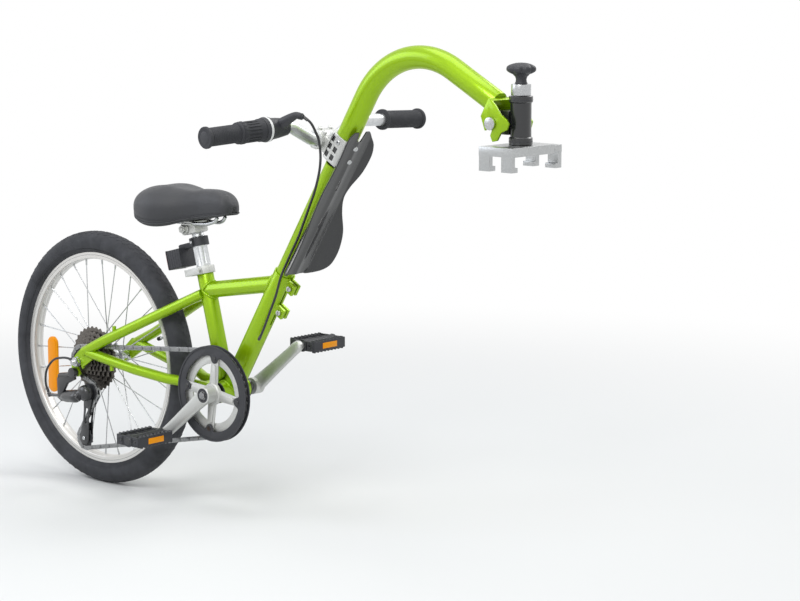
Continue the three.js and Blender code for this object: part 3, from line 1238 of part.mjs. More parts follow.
const slabHalf = half(hitch.length);
const jawX = (side) => [side * hitch.jawAcross - half(hitch.jawWide), side * hitch.jawAcross + half(hitch.jawWide)];
const boltAcross = [-hitch.clampBoltAcross, hitch.clampBoltAcross];
const clampShank = half(hitch.clampBolt);
const shankMid = half(hitch.slab);
place('hitch_base', cut(
  join(
    block(-slabHalf, slabHalf, -hitch.nearEdge, hitch.farEdge, 0, hitch.slab),
    ...[-1, 1].flatMap((side) => [
      block(...jawX(side), -hitch.nearEdge, -hitch.nearEdge + hitch.jawThick, -hitch.jawHang,
        half(hitch.slab)),
      block(...jawX(side), -hitch.nearEdge, -hitch.nearEdge + hitch.jawThick + hitch.footReach,
        -hitch.jawHang, -hitch.jawHang + hitch.foot),
    ]),
  ),
  rod(V(0, 0, hitch.slab - hitch.postSink), V(0, 0, hitch.slab + overrun), postBore, sides.large),
  ...boltAcross.map((x) => rodY(x, shankMid, hitch.farEdge - hitch.clampBoltReach - gap,
    hitch.farEdge + overrun, bore(clampShank, sides.tiny) + half(gap), sides.tiny)),
), silver, hitchHome);

const jawFace = hitch.farEdge + gap;
const jawBack = jawFace + hitch.clampThick;
place('clamp_jaw', join(
  block(-slabHalf, slabHalf, jawFace, jawBack, half(hitch.slab - hitch.clampHeight),
    half(hitch.slab + hitch.clampHeight)),
  ...[-1, 1].flatMap((side) => [
    block(...jawX(side), jawBack - hitch.jawThick, jawBack, -hitch.jawHang, half(hitch.slab)),
    block(...jawX(side), jawBack - hitch.jawThick - hitch.footReach, jawBack, -hitch.jawHang,
      -hitch.jawHang + hitch.foot),
  ]),
  ...boltAcross.flatMap((x) => [
    rodY(x, shankMid, hitch.farEdge - hitch.clampBoltReach, jawBack, clampShank, sides.tiny),
    rodY(x, shankMid, jawBack - gap, jawBack + hitch.clampBoltHeadHeight, half(hitch.clampBoltHead), 6),
  ]),
), silver, hitchHome);

const collarBase = hitch.headTop + gap;
const collarTopH = collarBase + hitch.collarHeight;
const stubRadius = half(hitch.stub);
place('hitch_post', turned([
  [0, hitch.slab - hitch.postSink + gap], [postRadiusH, hitch.slab - hitch.postSink + gap],
  [postRadiusH, collarBase], [half(hitch.collar), collarBase], [half(hitch.collar), collarTopH],
  [stubRadius, collarTopH], [stubRadius, collarTopH + hitch.stubHeight],
  [0, collarTopH + hitch.stubHeight],
], sides.large), silver, hitchHome);

const knobLow = collarTopH + gap;
const knobBase = knobLow + hitch.knobNeckHeight;
const knobRadius = half(hitch.knob);
const scallopStep = (2 * Math.PI) / hitch.scallops;
place('knob', cut(
  turned([
    [0, knobLow], [half(hitch.knobNeck), knobLow], [half(hitch.knobNeck), knobBase],
    [knobRadius, knobBase], [knobRadius, knobBase + hitch.knobHeight * 0.5],
    [knobRadius * 0.86, knobBase + hitch.knobHeight * 0.85],
    [knobRadius * 0.5, knobBase + hitch.knobHeight], [0, knobBase + hitch.knobHeight],
  ], sides.medium),
  rod(V(0, 0, knobLow - overrun), V(0, 0, collarTopH + hitch.stubHeight + gap),
    bore(stubRadius, sides.small) + half(gap), sides.small),
  ...Array.from({ length: hitch.scallops }, (_, i) => {
    const [x, y] = [knobRadius * 1.06 * Math.cos(i * scallopStep), knobRadius * 1.06 * Math.sin(i * scallopStep)];
    return rod(V(x, y, knobBase - overrun / 2), V(x, y, knobBase + hitch.knobHeight + overrun),
      half(hitch.scallop), sides.tiny);
  }),
), black, hitchHome);

// splash shield: a folded sheet ahead of the mast, notched at its top
const wingShares = [
  [0.01, 0.25], [0.05, 0.66], [0.1, 0.92], [0.17, 1], [0.25, 0.95], [0.34, 0.76], [0.45, 0.32],
  [0.54, 0.09], [0.62, 0.14], [0.73, 0.36], [0.85, 0.41], [0.92, 0.3], [0.955, 0.1],
];
const shieldRun = shield.end - shield.start;
const shieldHalf = half(shield.strip);
const lean = Math.atan2(shield.standHigh - shield.standLow, shieldRun);
const wing = (side) => {
  const outline = wingShares.map(([along, wide]) => [along * shieldRun, wide * shield.wing]);
  const ends = [outline[outline.length - 1], outline[0]].map(([along]) => [along, -gap]);
  // The sheet is drawn flat, raised by its thickness, then folded out about the strip's edge.
  return raised([...outline, ...ends].map(([along, wide]) => [wide, along]), 0, shield.thickness)
    .rotateX(Math.PI / 2).rotateZ(rad(shield.splay))
    .translate(0, shieldHalf - gap, 0)
    .scale(1, side, 1);
};
// One half of the strip's outline: how far out and how far up.
const stripEdge = [
  [shieldHalf * 0.7, 0], [shieldHalf, shield.round / 4], [shieldHalf, shieldRun - shield.round],
  [shieldHalf * 0.9, shieldRun - shield.round / 3], [shieldHalf * 0.6, shieldRun],
  [half(shield.notch), shieldRun], [shield.notch / 4, shieldRun - shield.notchDepth],
];
const strip = sheet([
  ...stripEdge, ...stripEdge.map(([out, up]) => [-out, up]).reverse(),
], 0, shield.thickness).rotateZ(-Math.PI / 2);
const slots = [shield.lowerSlot, shield.upperSlot].map((at) => block(
  -overrun, shield.thickness + overrun, -half(shield.slot), half(shield.slot),
  at - shield.start, at - shield.start + shield.slotLength));
place('mud_shield', cut(join(strip, wing(1), wing(-1)), ...slots)
  .rotateY(lean).translate(shield.standLow, 0, shield.start), blackGloss, mastHome);

// handlebar and stem
const clampAt = onMast(mast.couplerStart + stem.up, -stem.across, 0);
const clampRadius = half(stem.clamp);
const tubeRadius = half(bar.diameter);
const clampHalf = half(stem.clampWidth);
place('stem', cut(
  join(
    rodY(-stem.across, mast.couplerStart + stem.up, -clampHalf, clampHalf, clampRadius),
    block(-stem.across, -coupler.back - gap, -half(stem.block), half(stem.block),
      mast.couplerStart + stem.up - half(stem.block), mast.couplerStart + stem.up + half(stem.block)),
    block(-coupler.back - gap - stem.footThick, -coupler.back - gap, -half(stem.foot), half(stem.foot),
      mast.couplerStart + stem.footLow, mast.couplerStart + stem.footHigh),
    ...[-1, 1].flatMap((side) => [-1, 1].map((end) => rod(
      V(-stem.across + side * half(stem.bolt) * 1.4, end * half(stem.block),
        mast.couplerStart + stem.up + clampRadius - gap * 10),
      V(-stem.across + side * half(stem.bolt) * 1.4, end * half(stem.block),
        mast.couplerStart + stem.up + clampRadius + stem.boltHeight), half(stem.bolt), 6))),
  ),
  rodY(-stem.across, mast.couplerStart + stem.up, -clampHalf - overrun, clampHalf + overrun,
    bore(tubeRadius)),
), silver, mastHome);

const barPoint = (side, y, x, z) => V(clampAt.x + x, side * y, clampAt.z + z);
const barTip = (side) => barPoint(side, bar.halfWidth, -bar.sweep, bar.rise - bar.droop);
const shoulder = (side) => barPoint(side, bar.shoulder, 0, bar.rise);
const barRoute = rounded([
  barTip(-1), shoulder(-1), barPoint(-1, bar.flat, 0, 0), barPoint(1, bar.flat, 0, 0), shoulder(1),
  barTip(1),
], bar.corner);
place('handlebar', swept(barRoute, outlineShape(circlePoints(tubeRadius, sides.small),
  [circlePoints(tubeRadius - bar.wall, sides.tiny)]), V(0, 0, 1)), silver);

const barLength = shoulder(1).distanceTo(barTip(1));
const along = (side) => {
  const way = barTip(side).sub(shoulder(side)).normalize();
  const turn = new THREE.Quaternion().setFromUnitVectors(V(0, 0, 1), way);
  return home(shoulder(side), turn);
};
const barBore = bore(tubeRadius, sides.small);
const gripRadius = half(grip.diameter);
function gripShape(from) {
  const end = barLength + gap;
  const flangeTop = from + grip.flangeWidth;
  return turned([
    [barBore, from], [half(grip.flange), from], [half(grip.flange), flangeTop], [gripRadius, flangeTop],
    [gripRadius, end + grip.end], [0, end + grip.end], [0, end], [barBore, end],
  ], sides.small);
}
const rightHome = along(-1);
place('grip_left', gripShape(barLength - grip.length), rubber, along(1));
place('grip_right', gripShape(barLength - grip.rightLength + grip.end), rubber, rightHome);

const twistBore = barBore + gap;
const twistStart = barLength - twist.fromTip;
const twistEnd = twistStart + twist.length;
const [twistRadius, twistRib] = [half(twist.diameter), half(twist.diameter) + twist.rib];
place('shifter_grip', turned([
  [twistBore, twistStart], [twistRib, twistStart], [twistRib, twistStart + twist.length * 0.12],
  [twistRadius, twistStart + twist.length * 0.18], [twistRadius, twistStart + twist.length * 0.8],
  [twistRib, twistStart + twist.length * 0.86], [twistRib, twistEnd], [twistBore, twistEnd],
]), black, rightHome);

const shifterStart = barLength - shifter.fromTip;
const shifterBody = shifterStart + shifter.body;
const ringEnd = shifterBody + shifter.ring;
// The cable's route, point by point, from the shifter down beside the mast and into the frame.
const bossOut = bar.halfWidth - cable.bossInset;
const fullRoute = [
  ...[
    [622, 1, 757], [640, 0.9639, 766], [655, 0.9157, 764], [666, 0.8554, 755], [671, 0.7831, 741],
    [672, 0.6867, 724], [667, 0.5783, 705], [657, 0.4458, 687], [643, 0.3012, 667], [628, 0.1807, 646],
    [612, 0.0843, 622], [596, 0.0301, 597], [580, 0.0072, 567], [565, 0, 538.3],
  ].map(([x, out, z]) => [x, -cable.besideMast - out * (bossOut - cable.besideMast), z]),
  [542.5, -29, 501.2], [521.5, -28.5, 464.8], [506, -27, 427], [487, -25, 392], [468, -22.8, 358],
  [455, -20.5, 340],
].map(([x, y, z]) => V(x, y, z));
const bossRoute = fullRoute.slice(0, 2);
const shiftRoute = fullRoute.slice(2);
const cableRadius = half(cable.diameter);
const bossFrom = shoulder(-1).lerp(barTip(-1), 0.16);
const inHome = (geometry, group) => geometry.applyMatrix4(group.matrix.clone().invert());
rightHome.updateMatrix();
const housingTip = shiftRoute[0].clone().add(
  shiftRoute[0].clone().sub(shiftRoute[1]).normalize().multiplyScalar(gap));
place('shifter_housing', cut(
  join(
    turned([
      [0, shifterStart], [half(shifter.diameter), shifterStart],
      [half(shifter.diameter), shifterBody], [half(shifter.ringDiameter), shifterBody],
      [half(shifter.ringDiameter), ringEnd], [0, ringEnd],
    ]),
    inHome(roundBar([bossFrom, ...bossRoute, housingTip], half(shifter.boss), sides.tiny), rightHome),
  ),
  rod(V(0, 0, shifterStart - overrun), V(0, 0, ringEnd + overrun), barBore, sides.small),
  inHome(rod(shiftRoute[0], shiftRoute[1], cableRadius + 2 * gap, sides.tiny), rightHome),
), black, rightHome);
place('shift_cable', roundBar(shiftRoute, cableRadius, sides.tiny), black);

place('derailleur_cable', roundBar(loopRoute, cableRadius, sides.tiny), black);

bike.position.copy(hitchAt).negate();

export default part;
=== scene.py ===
from math import asin, atan2, ceil, cos, hypot, pi, radians, sin, sqrt, tan

import bmesh
import bpy
from mathutils import Matrix, Vector


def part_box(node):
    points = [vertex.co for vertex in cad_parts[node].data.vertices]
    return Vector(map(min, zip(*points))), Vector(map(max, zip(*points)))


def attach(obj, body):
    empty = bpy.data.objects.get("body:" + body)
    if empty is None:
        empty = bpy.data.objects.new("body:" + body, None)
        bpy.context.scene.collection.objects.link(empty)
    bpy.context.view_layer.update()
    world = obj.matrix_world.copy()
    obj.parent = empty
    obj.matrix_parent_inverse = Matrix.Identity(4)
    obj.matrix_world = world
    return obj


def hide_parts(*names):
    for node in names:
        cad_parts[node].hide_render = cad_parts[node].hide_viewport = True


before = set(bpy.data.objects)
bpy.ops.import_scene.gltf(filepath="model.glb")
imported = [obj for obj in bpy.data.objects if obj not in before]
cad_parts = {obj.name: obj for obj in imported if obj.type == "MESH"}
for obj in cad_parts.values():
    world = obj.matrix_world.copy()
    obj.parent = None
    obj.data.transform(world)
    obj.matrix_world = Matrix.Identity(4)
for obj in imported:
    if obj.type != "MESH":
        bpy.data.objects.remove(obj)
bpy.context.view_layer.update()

# Sizes in millimetres, in the bicycle's own axes: x ahead from the wheel's axle, y to the
# rider's left, z up from the ground. HOME is the hitch base's underside, the frame's origin.
HOME = Vector((1049.98, 0.0, 717.82))
AXLE = Vector((0, 0, 250))
CRANKS = Vector((360, 0, 231))
X, Y, Z = Vector((1, 0, 0)), Vector((0, 1, 0)), Vector((0, 0, 1))
SIDES = (-1, 1)
MAST_ANGLE, SEAT_ANGLE, CRANK_ANGLE = radians(58.6), radians(14.7), radians(141.5)
CRANK_REACH = 140
CHAIN_PITCH, RING_TEETH, DRIVE_TEETH, PULLEY_TEETH = 12.7, 40, 14, 10
COGS_IN_ORDER = (32, 28, 24, 21, 18, 16, 14)
SPIDER_ARMS, BOLT_RING, TAB_HALF = 4, 67.0, 8.8
# Pulley centres ahead of and below the axle; radii of the frame's thin and stout tubes
UPPER_PULLEY, LOWER_PULLEY = (20, 60), (5, 153)
THIN, STOUT = 15.9, 20.0


def spot(point):
    return (Vector(point) - HOME) / 1000


def axes(origin, along, ahead=None):
    """A local frame in mm whose Z runs along a direction, as a matrix into the scene."""
    z = Vector(along).normalized()
    x = Vector(ahead) if ahead is not None else (X if abs(z.x) < 0.9 else Y)
    x = (x - z * x.dot(z)).normalized()
    y = z.cross(x)
    turn = Matrix((x, y, z)).transposed().to_4x4()
    return Matrix.Translation(spot(origin)) @ turn @ Matrix.Scale(0.001, 4)


def linked(name, data):
    made = bpy.data.objects.new(name, data)
    bpy.context.collection.objects.link(made)
    return made


def evaluated(holder):
    """A holder's mesh with its modifiers applied."""
    depsgraph = bpy.context.evaluated_depsgraph_get()
    return bpy.data.meshes.new_from_object(holder.evaluated_get(depsgraph))


# Camera: found from the ellipses of the tyre and the rim.
def make_camera():
    data = bpy.data.cameras.new("camera")
    data.lens, data.sensor_width, data.clip_end = 106.66, 36, 100
    camera = linked("camera", data)
    turn, rise = radians(41.75), radians(8.99)
    back = Vector((sin(turn) * cos(rise), -cos(turn) * cos(rise), sin(rise)))
    camera.location = (2.4463, -3.0394, 0.3719)
    camera.rotation_euler = (-back).to_track_quat("-Z", "Y").to_euler()
    bpy.context.scene.camera = camera


make_camera()


# Colours and nodes
def paint(code):
    """An sRGB hex colour as linear values with alpha."""
    parts = [int(code[i:i + 2], 16) / 255 for i in (1, 3, 5)]
    return (*[c / 12.92 if c <= 0.04045 else ((c + 0.055) / 1.055) ** 2.4 for c in parts], 1)


def add(tree, kind, sockets=None, **settings):
    """Adds a node, sets its options and fills its sockets with values or links."""
    node = tree.nodes.new(kind)
    for key, value in settings.items():
        setattr(node, key, value)
    for key, value in (sockets or {}).items():
        if isinstance(value, bpy.types.NodeSocket):
            tree.links.new(value, node.inputs[key])
        else:
            node.inputs[key].default_value = value
    return node


def finish_of(name, **shader):
    """A new material with its shader; the rest of its nodes are added by its maker."""
    material = bpy.data.materials.new(name)
    material.use_nodes = True
    tree = material.node_tree
    body = tree.nodes["Principled BSDF"]
    for key, value in shader.items():
        body.inputs[key.replace("_", " ")].default_value = value
    return material, tree, body


def object_place(tree):
    return add(tree, "ShaderNodeTexCoord").outputs["Object"]


def bumped(tree, body, height, strength, distance=0.0001):
    """Relief from a node's output; distance is in metres."""
    bump = add(tree, "ShaderNodeBump", {
        "Height": height, "Strength": strength, "Distance": distance})
    tree.links.new(bump.outputs[0], body.inputs["Normal"])


def grain(tree, body, scale, strength, stretch=(1, 1, 1)):
    """Fine relief from noise; scale is repeats for each metre. Gives the noise."""
    spread = add(tree, "ShaderNodeMapping", {"Vector": object_place(tree), "Scale": stretch})
    noise = add(tree, "ShaderNodeTexNoise", {
        "Vector": spread.outputs[0], "Scale": scale, "Detail": 3.0, "Roughness": 0.6}).outputs[0]
    bumped(tree, body, noise, strength)
    return noise


def rings_round_axle(tree, scale, distortion):
    centred = add(tree, "ShaderNodeMapping", {
        "Vector": object_place(tree), "Location": -spot(AXLE), "Scale": (1, 0, 1)})
    return add(tree, "ShaderNodeTexWave", {
        "Vector": centred.outputs[0], "Scale": scale, "Distortion": distortion},
        wave_type="RINGS", rings_direction="SPHERICAL").outputs["Fac"]


def two_tone(tree, body, factor, dark, light, low=0.35, high=0.65):
    """Colour that drifts between two values with a factor."""
    ramp = add(tree, "ShaderNodeValToRGB", {"Fac": factor})
    for stop, place, code in zip(ramp.color_ramp.elements, (low, high), (dark, light)):
        stop.position, stop.color = place, paint(code)
    tree.links.new(ramp.outputs[0], body.inputs["Base Color"])


def wear(tree, body, scale, low, high):
    """Roughness that varies in soft patches, as handling leaves it."""
    noise = add(tree, "ShaderNodeTexNoise", {
        "Vector": object_place(tree), "Scale": scale, "Detail": 4.0})
    spread = add(tree, "ShaderNodeMapRange", {
        "Value": noise.outputs[0], "From Min": 0.3, "From Max": 0.7, "To Min": low, "To Max": high})
    tree.links.new(spread.outputs[0], body.inputs["Roughness"])


def lime_enamel():
    # Powder coat with fine aluminium flake under clear lacquer: the eye sees a warm lime
    # with a faint sparkle and long bright highlights along each tube.
    material, tree, body = finish_of(
        "lime_metallic_enamel", Metallic=0.45, Roughness=0.36, Coat_Weight=0.45,
        Coat_Roughness=0.08, Coat_Tint=paint("#fbf8b8"), Specular_Tint=paint("#f6f6a0"))
    flake = add(tree, "ShaderNodeTexVoronoi", {
        "Vector": object_place(tree), "Scale": 1800.0}).outputs["Distance"]
    two_tone(tree, body, flake, "#a3cb10", "#86b108", 0.1, 0.7)
    bumped(tree, body, flake, 0.08)
    return material


def mottled(name, dark, light, worn=None, relief=(700, 0.06), **shader):
    """A finish of two close tones over a fine grain: metal as plated, cast or drawn, or a
    moulding. worn is a scale and two roughnesses, relief what grain() takes."""
    material, tree, body = finish_of(name, **shader)
    two_tone(tree, body, grain(tree, body, *relief), dark, light)
    if worn:
        wear(tree, body, *worn)
    return material


def bare_metal(name, dark, light, low, high):
    # Zinc-plated, stainless or cast: brighter and harder-edged than the forged alloy.
    return mottled(name, dark, light, (60, low, high), Metallic=1.0)


def soft_black(name, dark, light, low, high, scale=2200, strength=0.25, coat=0.0):
    # Moulded nylon or enamel on steel: a fine spark-eroded texture.
    return mottled(name, dark, light, (30, low, high), (scale, strength), Coat_Weight=coat,
                   Coat_Roughness=0.12)


def rim_alloy():
    # Extruded rim, turned on its sides: fine rings round the axle catch the light in arcs.
    material, tree, body = finish_of("turned_rim_aluminium", Metallic=0.9, Roughness=0.36)
    rings = rings_round_axle(tree, 190.0, 0.0)
    two_tone(tree, body, rings, "#cfcdc9", "#e2e1de", 0.2, 0.8)
    bumped(tree, body, rings, 0.06)
    return material


def tyre_rubber():
    # Cured rubber with a bloom: charcoal, nearly matt, with ring lines from the mould.
    material, tree, body = finish_of("moulded_tyre_rubber", Specular_IOR_Level=0.35)
    rings = rings_round_axle(tree, 60.0, 0.3)
    noise = add(tree, "ShaderNodeTexNoise", {
        "Vector": object_place(tree), "Scale": 30.0, "Detail": 6.0}).outputs[0]
    both = add(tree, "ShaderNodeMath", {0: rings, 1: 0.25, 2: noise}, operation="MULTIPLY_ADD")
    two_tone(tree, body, noise, "#2d2e31", "#3d3e42", 0.3, 0.7)
    bumped(tree, body, both.outputs[0], 0.3, 0.0003)
    wear(tree, body, 80, 0.62, 0.8)
    return material


def saddle_vinyl():
    # Calendered vinyl over foam: leather-like pebbles about 1.2 mm across, soft sheen. The valleys
    # between pebbles are coloured darker: painted shade.
    material, tree, body = finish_of("pebbled_saddle_vinyl", Sheen_Weight=0.08, Sheen_Roughness=0.5)
    pebble = add(tree, "ShaderNodeTexVoronoi", {
        "Vector": object_place(tree), "Scale": 820.0}, feature="DISTANCE_TO_EDGE")
    shape = add(tree, "ShaderNodeMapRange", {
        "Value": pebble.outputs["Distance"], "From Min": 0.0, "From Max": 0.25, "To Min": 0.0,
        "To Max": 1.0}).outputs[0]
    # Darker towards each pebble's edge, where the relief is lowest: painted shade in the valleys.
    two_tone(tree, body, shape, "#26272a", "#35363a", 0.0, 0.9)
    bumped(tree, body, shape, 0.35, 0.0003)
    wear(tree, body, 18, 0.42, 0.56)
    return material


def prism_lens(name, dark, light):
    # Acrylic reflector: rows of corner-cube prisms, about 2.4 mm each, under a smooth face.
    material, tree, body = finish_of(
        name, Roughness=0.3, Coat_Weight=0.25, Coat_Roughness=0.06, Specular_Tint=paint(light))
    cubes = add(tree, "ShaderNodeTexVoronoi", {
        "Vector": object_place(tree), "Scale": 420.0, "Randomness": 0.0}).outputs["Distance"]
    two_tone(tree, body, cubes, light, dark, 0.1, 0.65)
    bumped(tree, body, cubes, 0.25, 0.0004)
    return material


LIME = lime_enamel()
# Extruded alloy, anodised: drawing marks run lengthways. Forged alloy: tumbled, softly pebbled.
ALLOY = mottled("satin_anodised_aluminium", "#c4c6c8", "#dcdedf", (40, 0.34, 0.46),
                (900, 0.12, (1, 1, 0.08)), Metallic=1.0)
FORGED = mottled("tumbled_forged_alloy", "#bcbdbb", "#d2d3d0", (25, 0.48, 0.6), (1400, 0.2),
                 Metallic=1.0)
RIM = rim_alloy()
ZINC = bare_metal("bright_zinc_steel", "#a9abad", "#c9cbcc", 0.2, 0.34)
CHAIN = bare_metal("oiled_chain_steel", "#77787a", "#a3a4a4", 0.26, 0.42)
COGS = bare_metal("black_oxide_steel", "#57534f", "#77726d", 0.36, 0.54)
CAST = bare_metal("cast_hitch_aluminium", "#a7a9aa", "#c2c4c4", 0.26, 0.38)
ENAMEL = soft_black("black_enamelled_steel", "#17181a", "#222326", 0.26, 0.38, 900, 0.06, 0.5)
NYLON = soft_black("textured_black_nylon", "#28292c", "#34353a", 0.48, 0.62)
GLOSS = soft_black("gloss_black_polycarbonate", "#101114", "#17181b", 0.14, 0.24, 60, 0.03, 0.6)
GRIP = soft_black("soft_grip_rubber", "#27282b", "#323338", 0.66, 0.82, 1500, 0.4)
HOUSING = soft_black("cable_housing_vinyl", "#1b1c1e", "#26272a", 0.3, 0.42, 700, 0.08)
TYRE = tyre_rubber()
VINYL = saddle_vinyl()
AMBER = prism_lens("amber_acrylic_reflector", "#e88a00", "#ffae10")
RED = prism_lens("red_acrylic_lens", "#7d0a10", "#c8232a")
WHITE = mottled("white_moulded_ring", "#dcdcda", "#ededeb", None, (300, 0.04), Roughness=0.35)


# Mesh makers: each returns a bmesh in local millimetres
def turns(count):
    return [2 * pi * i / count for i in range(count)]


def lathe(profile, steps=96, closed=False):
    """A solid of revolution about Z. The profile is (radius, height); radius 0 closes it."""
    mesh = bmesh.new()
    rings = []
    for radius, height in profile:
        angles = turns(steps) if radius >= 1e-6 else [0]
        rings.append([mesh.verts.new((radius * cos(a), radius * sin(a), height)) for a in angles])
    for low, high in zip(rings, rings[1:] + rings[:closed]):
        for i in range(steps):
            j = (i + 1) % steps
            face = [low[i % len(low)], low[j % len(low)], high[j % len(high)], high[i % len(high)]]
            face = list(dict.fromkeys(face))
            if len(face) > 2:
                mesh.faces.new(face)
    return mesh


def washer(inner, outer, low, high, steps=40):
    return lathe([(inner, low), (outer, low), (outer, high), (inner, high)], steps, closed=True)


def skin(mesh, rings, closed=False):
    """Quads from ring to ring of vertices, with a face on each end unless the rings close."""
    for low, high in zip(rings, rings[1:] + rings[:closed]):
        for i in range(len(low)):
            j = (i + 1) % len(low)
            mesh.faces.new((low[i], low[j], high[j], high[i]))
    if not closed:
        mesh.faces.new(rings[0][::-1])
        mesh.faces.new(rings[-1])
    return mesh


def sweep(points, section, up=Y, closed=False, scales=None):
    """A bar along points; section is a ring of (side, up) offsets, scales one pair a point."""
    points = [Vector(p) for p in points]
    count = len(points)
    mesh = bmesh.new()
    rings = []
    for i, at in enumerate(points):
        before = points[i - 1] if i or closed else at
        after = points[(i + 1) % count] if i < count - 1 or closed else at
        way = (after - before).normalized()
        across = (Vector(up) - way * Vector(up).dot(way)).normalized()
        third = way.cross(across)
        sa, sb = scales[i] if scales else (1, 1)
        rings.append([mesh.verts.new(at + third * a * sa + across * b * sb) for a, b in section])
    return skin(mesh, rings, closed)


def circle(radius, steps=32, x=0.0, y=0.0):
    return [(x + radius * cos(a), y + radius * sin(a)) for a in turns(steps)]


def oval(wide, tall, power=2.5, steps=40):
    """A superellipse, for forged arms and moulded bodies."""
    ring = []
    for a in turns(steps):
        c, s = cos(a), sin(a)
        ring.append((wide * abs(c) ** (2 / power) * (1 if c >= 0 else -1),
                     tall * abs(s) ** (2 / power) * (1 if s >= 0 else -1)))
    return ring


def capsule(x0, y0, r0, x1, y1, r1, steps=16):
    """The outline round two circles."""
    heading = atan2(y1 - y0, x1 - x0)
    far = hypot(x1 - x0, y1 - y0)
    lean = asin(max(-1, min(1, (r0 - r1) / far))) if far else 0
    ring = []
    for x, y, radius, side in ((x1, y1, r1, 1), (x0, y0, r0, -1)):
        for k in range(steps + 1):
            a = heading - side * (pi / 2 - lean) + k * (pi - side * 2 * lean) / steps
            ring.append((x + radius * cos(a), y + radius * sin(a)))
    return ring


def plate(outline, low, high, holes=(), edge=0.4):
    """A flat plate with holes and rounded edges, from local z low to high."""
    edge = min(edge, (high - low) / 2.2)
    data = bpy.data.curves.new("plate_outline", "CURVE")
    data.dimensions, data.fill_mode = "2D", "BOTH"
    data.extrude, data.bevel_depth, data.bevel_resolution = (high - low) / 2 - edge, edge, 1
    data.offset = -edge
    for ring in (outline, *holes):
        line = data.splines.new("POLY")
        line.points.add(len(ring) - 1)
        for point, (x, y) in zip(line.points, ring):
            point.co = (x, y, 0, 1)
        line.use_cyclic_u = True
    holder = linked("plate_outline", data)
    flat = evaluated(holder)
    mesh = bmesh.new()
    mesh.from_mesh(flat)
    bmesh.ops.remove_doubles(mesh, verts=mesh.verts, dist=0.001)
    bmesh.ops.translate(mesh, verts=mesh.verts, vec=(0, 0, (low + high) / 2))
    bpy.data.objects.remove(holder)
    bpy.data.curves.remove(data)
    bpy.data.meshes.remove(flat)
    return mesh


def rod(start, end, radius, end_radius=None, steps=32, edge=0.0):
    """A round bar between two points, with chamfered ends."""
    start, end = Vector(start), Vector(end)
    way = end - start
    length = way.length
    top = radius if end_radius is None else end_radius
    side = [(radius, 0), (top, length)]
    if edge:
        side = [(radius - edge, 0), (radius, edge), (top, length - edge), (top - edge, length)]
    profile = [(0, 0), *side, (0, length)]
    mesh = lathe(profile, steps)
    turn = way.to_track_quat("Z", "X").to_matrix().to_4x4()
    mesh.transform(Matrix.Translation(start) @ turn)
    return mesh


def box(x0, x1, y0, y1, z0, z1, edge=0.8):
    mesh = bmesh.new()
    bmesh.ops.create_cube(mesh, size=1)
    mesh.transform(Matrix.Translation(((x0 + x1) / 2, (y0 + y1) / 2, (z0 + z1) / 2))
                   @ Matrix.Diagonal((abs(x1 - x0), abs(y1 - y0), abs(z1 - z0), 1)))
    if edge:
        bmesh.ops.bevel(mesh, geom=mesh.edges[:], offset=edge, segments=2, profile=0.6,
                        affect="EDGES", clamp_overlap=True)
    return mesh


def hexagon(across, low, high):
    """A bolt head or nut with its corners turned down."""
    reach = across / 2 / cos(pi / 6)
    return plate(circle(reach, 6), low, high, edge=min(0.7, (high - low) / 3))


def joined(*parts):
    """Several makers' meshes as one."""
    whole = bmesh.new()
    for part in parts:
        data = bpy.data.meshes.new("part")
        part.to_mesh(data)
        part.free()
        whole.from_mesh(data)
        bpy.data.meshes.remove(data)
    return whole


def moved(mesh, matrix):
    mesh.transform(matrix)
    if matrix.determinant() < 0:
        bmesh.ops.reverse_faces(mesh, faces=mesh.faces[:])
    return mesh


def piece(name, mesh, place, body, material, hides=(), sharp=32):
    """Makes the finished piece: placed in its mesh, riding on its body."""
    mesh.transform(place)
    bmesh.ops.remove_doubles(mesh, verts=mesh.verts, dist=2e-6)
    bmesh.ops.recalc_face_normals(mesh, faces=mesh.faces)
    for edge in mesh.edges:
        edge.smooth = len(edge.link_faces) == 2 and edge.calc_face_angle(0) < radians(sharp)
    for face in mesh.faces:
        face.smooth = True
    data = bpy.data.meshes.new(name)
    mesh.to_mesh(data)
    mesh.free()
    data.materials.append(material)
    made = linked(name, data)
    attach(made, body)
    if hides:
        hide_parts(*hides)
    return made


def refined(node, body, material, width=0.5, sharp=42, segments=2):
    """A copy of a CAD node with its facets blended and its edges broken."""
    mesh = bmesh.new()
    mesh.from_mesh(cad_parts[node].data)
    bmesh.ops.remove_doubles(mesh, verts=mesh.verts, dist=1e-5)
    bmesh.ops.dissolve_limit(mesh, angle_limit=radians(1), verts=mesh.verts, edges=mesh.edges)
    if width:
        data = bpy.data.meshes.new("broken_edges")
        mesh.to_mesh(data)
        mesh.free()
        holder = linked("broken_edges", data)
        bevel = holder.modifiers.new("edges", "BEVEL")
        bevel.width, bevel.segments, bevel.limit_method = width / 1000, segments, "ANGLE"
        bevel.angle_limit = radians(sharp)
        cut = evaluated(holder)
        mesh = bmesh.new()
        mesh.from_mesh(cut)
        bpy.data.objects.remove(holder)
        bpy.data.meshes.remove(data)
        bpy.data.meshes.remove(cut)
    return piece(f"{node}_finished", mesh, Matrix.Identity(4), body, material, [node], sharp)


# Geometry Nodes: what repeats round a centre, or along a path
def new_group(name, **kinds):
    """A node group that takes a Geometry and the named inputs; gives it and their sockets."""
    tree = bpy.data.node_groups.new(name, "GeometryNodeTree")
    for key, kind in {"Geometry": "Geometry", **kinds}.items():
        tree.interface.new_socket(key, in_out="INPUT", socket_type=f"NodeSocket{kind}")
    tree.interface.new_socket("Geometry", in_out="OUTPUT", socket_type="NodeSocketGeometry")
    return tree, add(tree, "NodeGroupInput").outputs


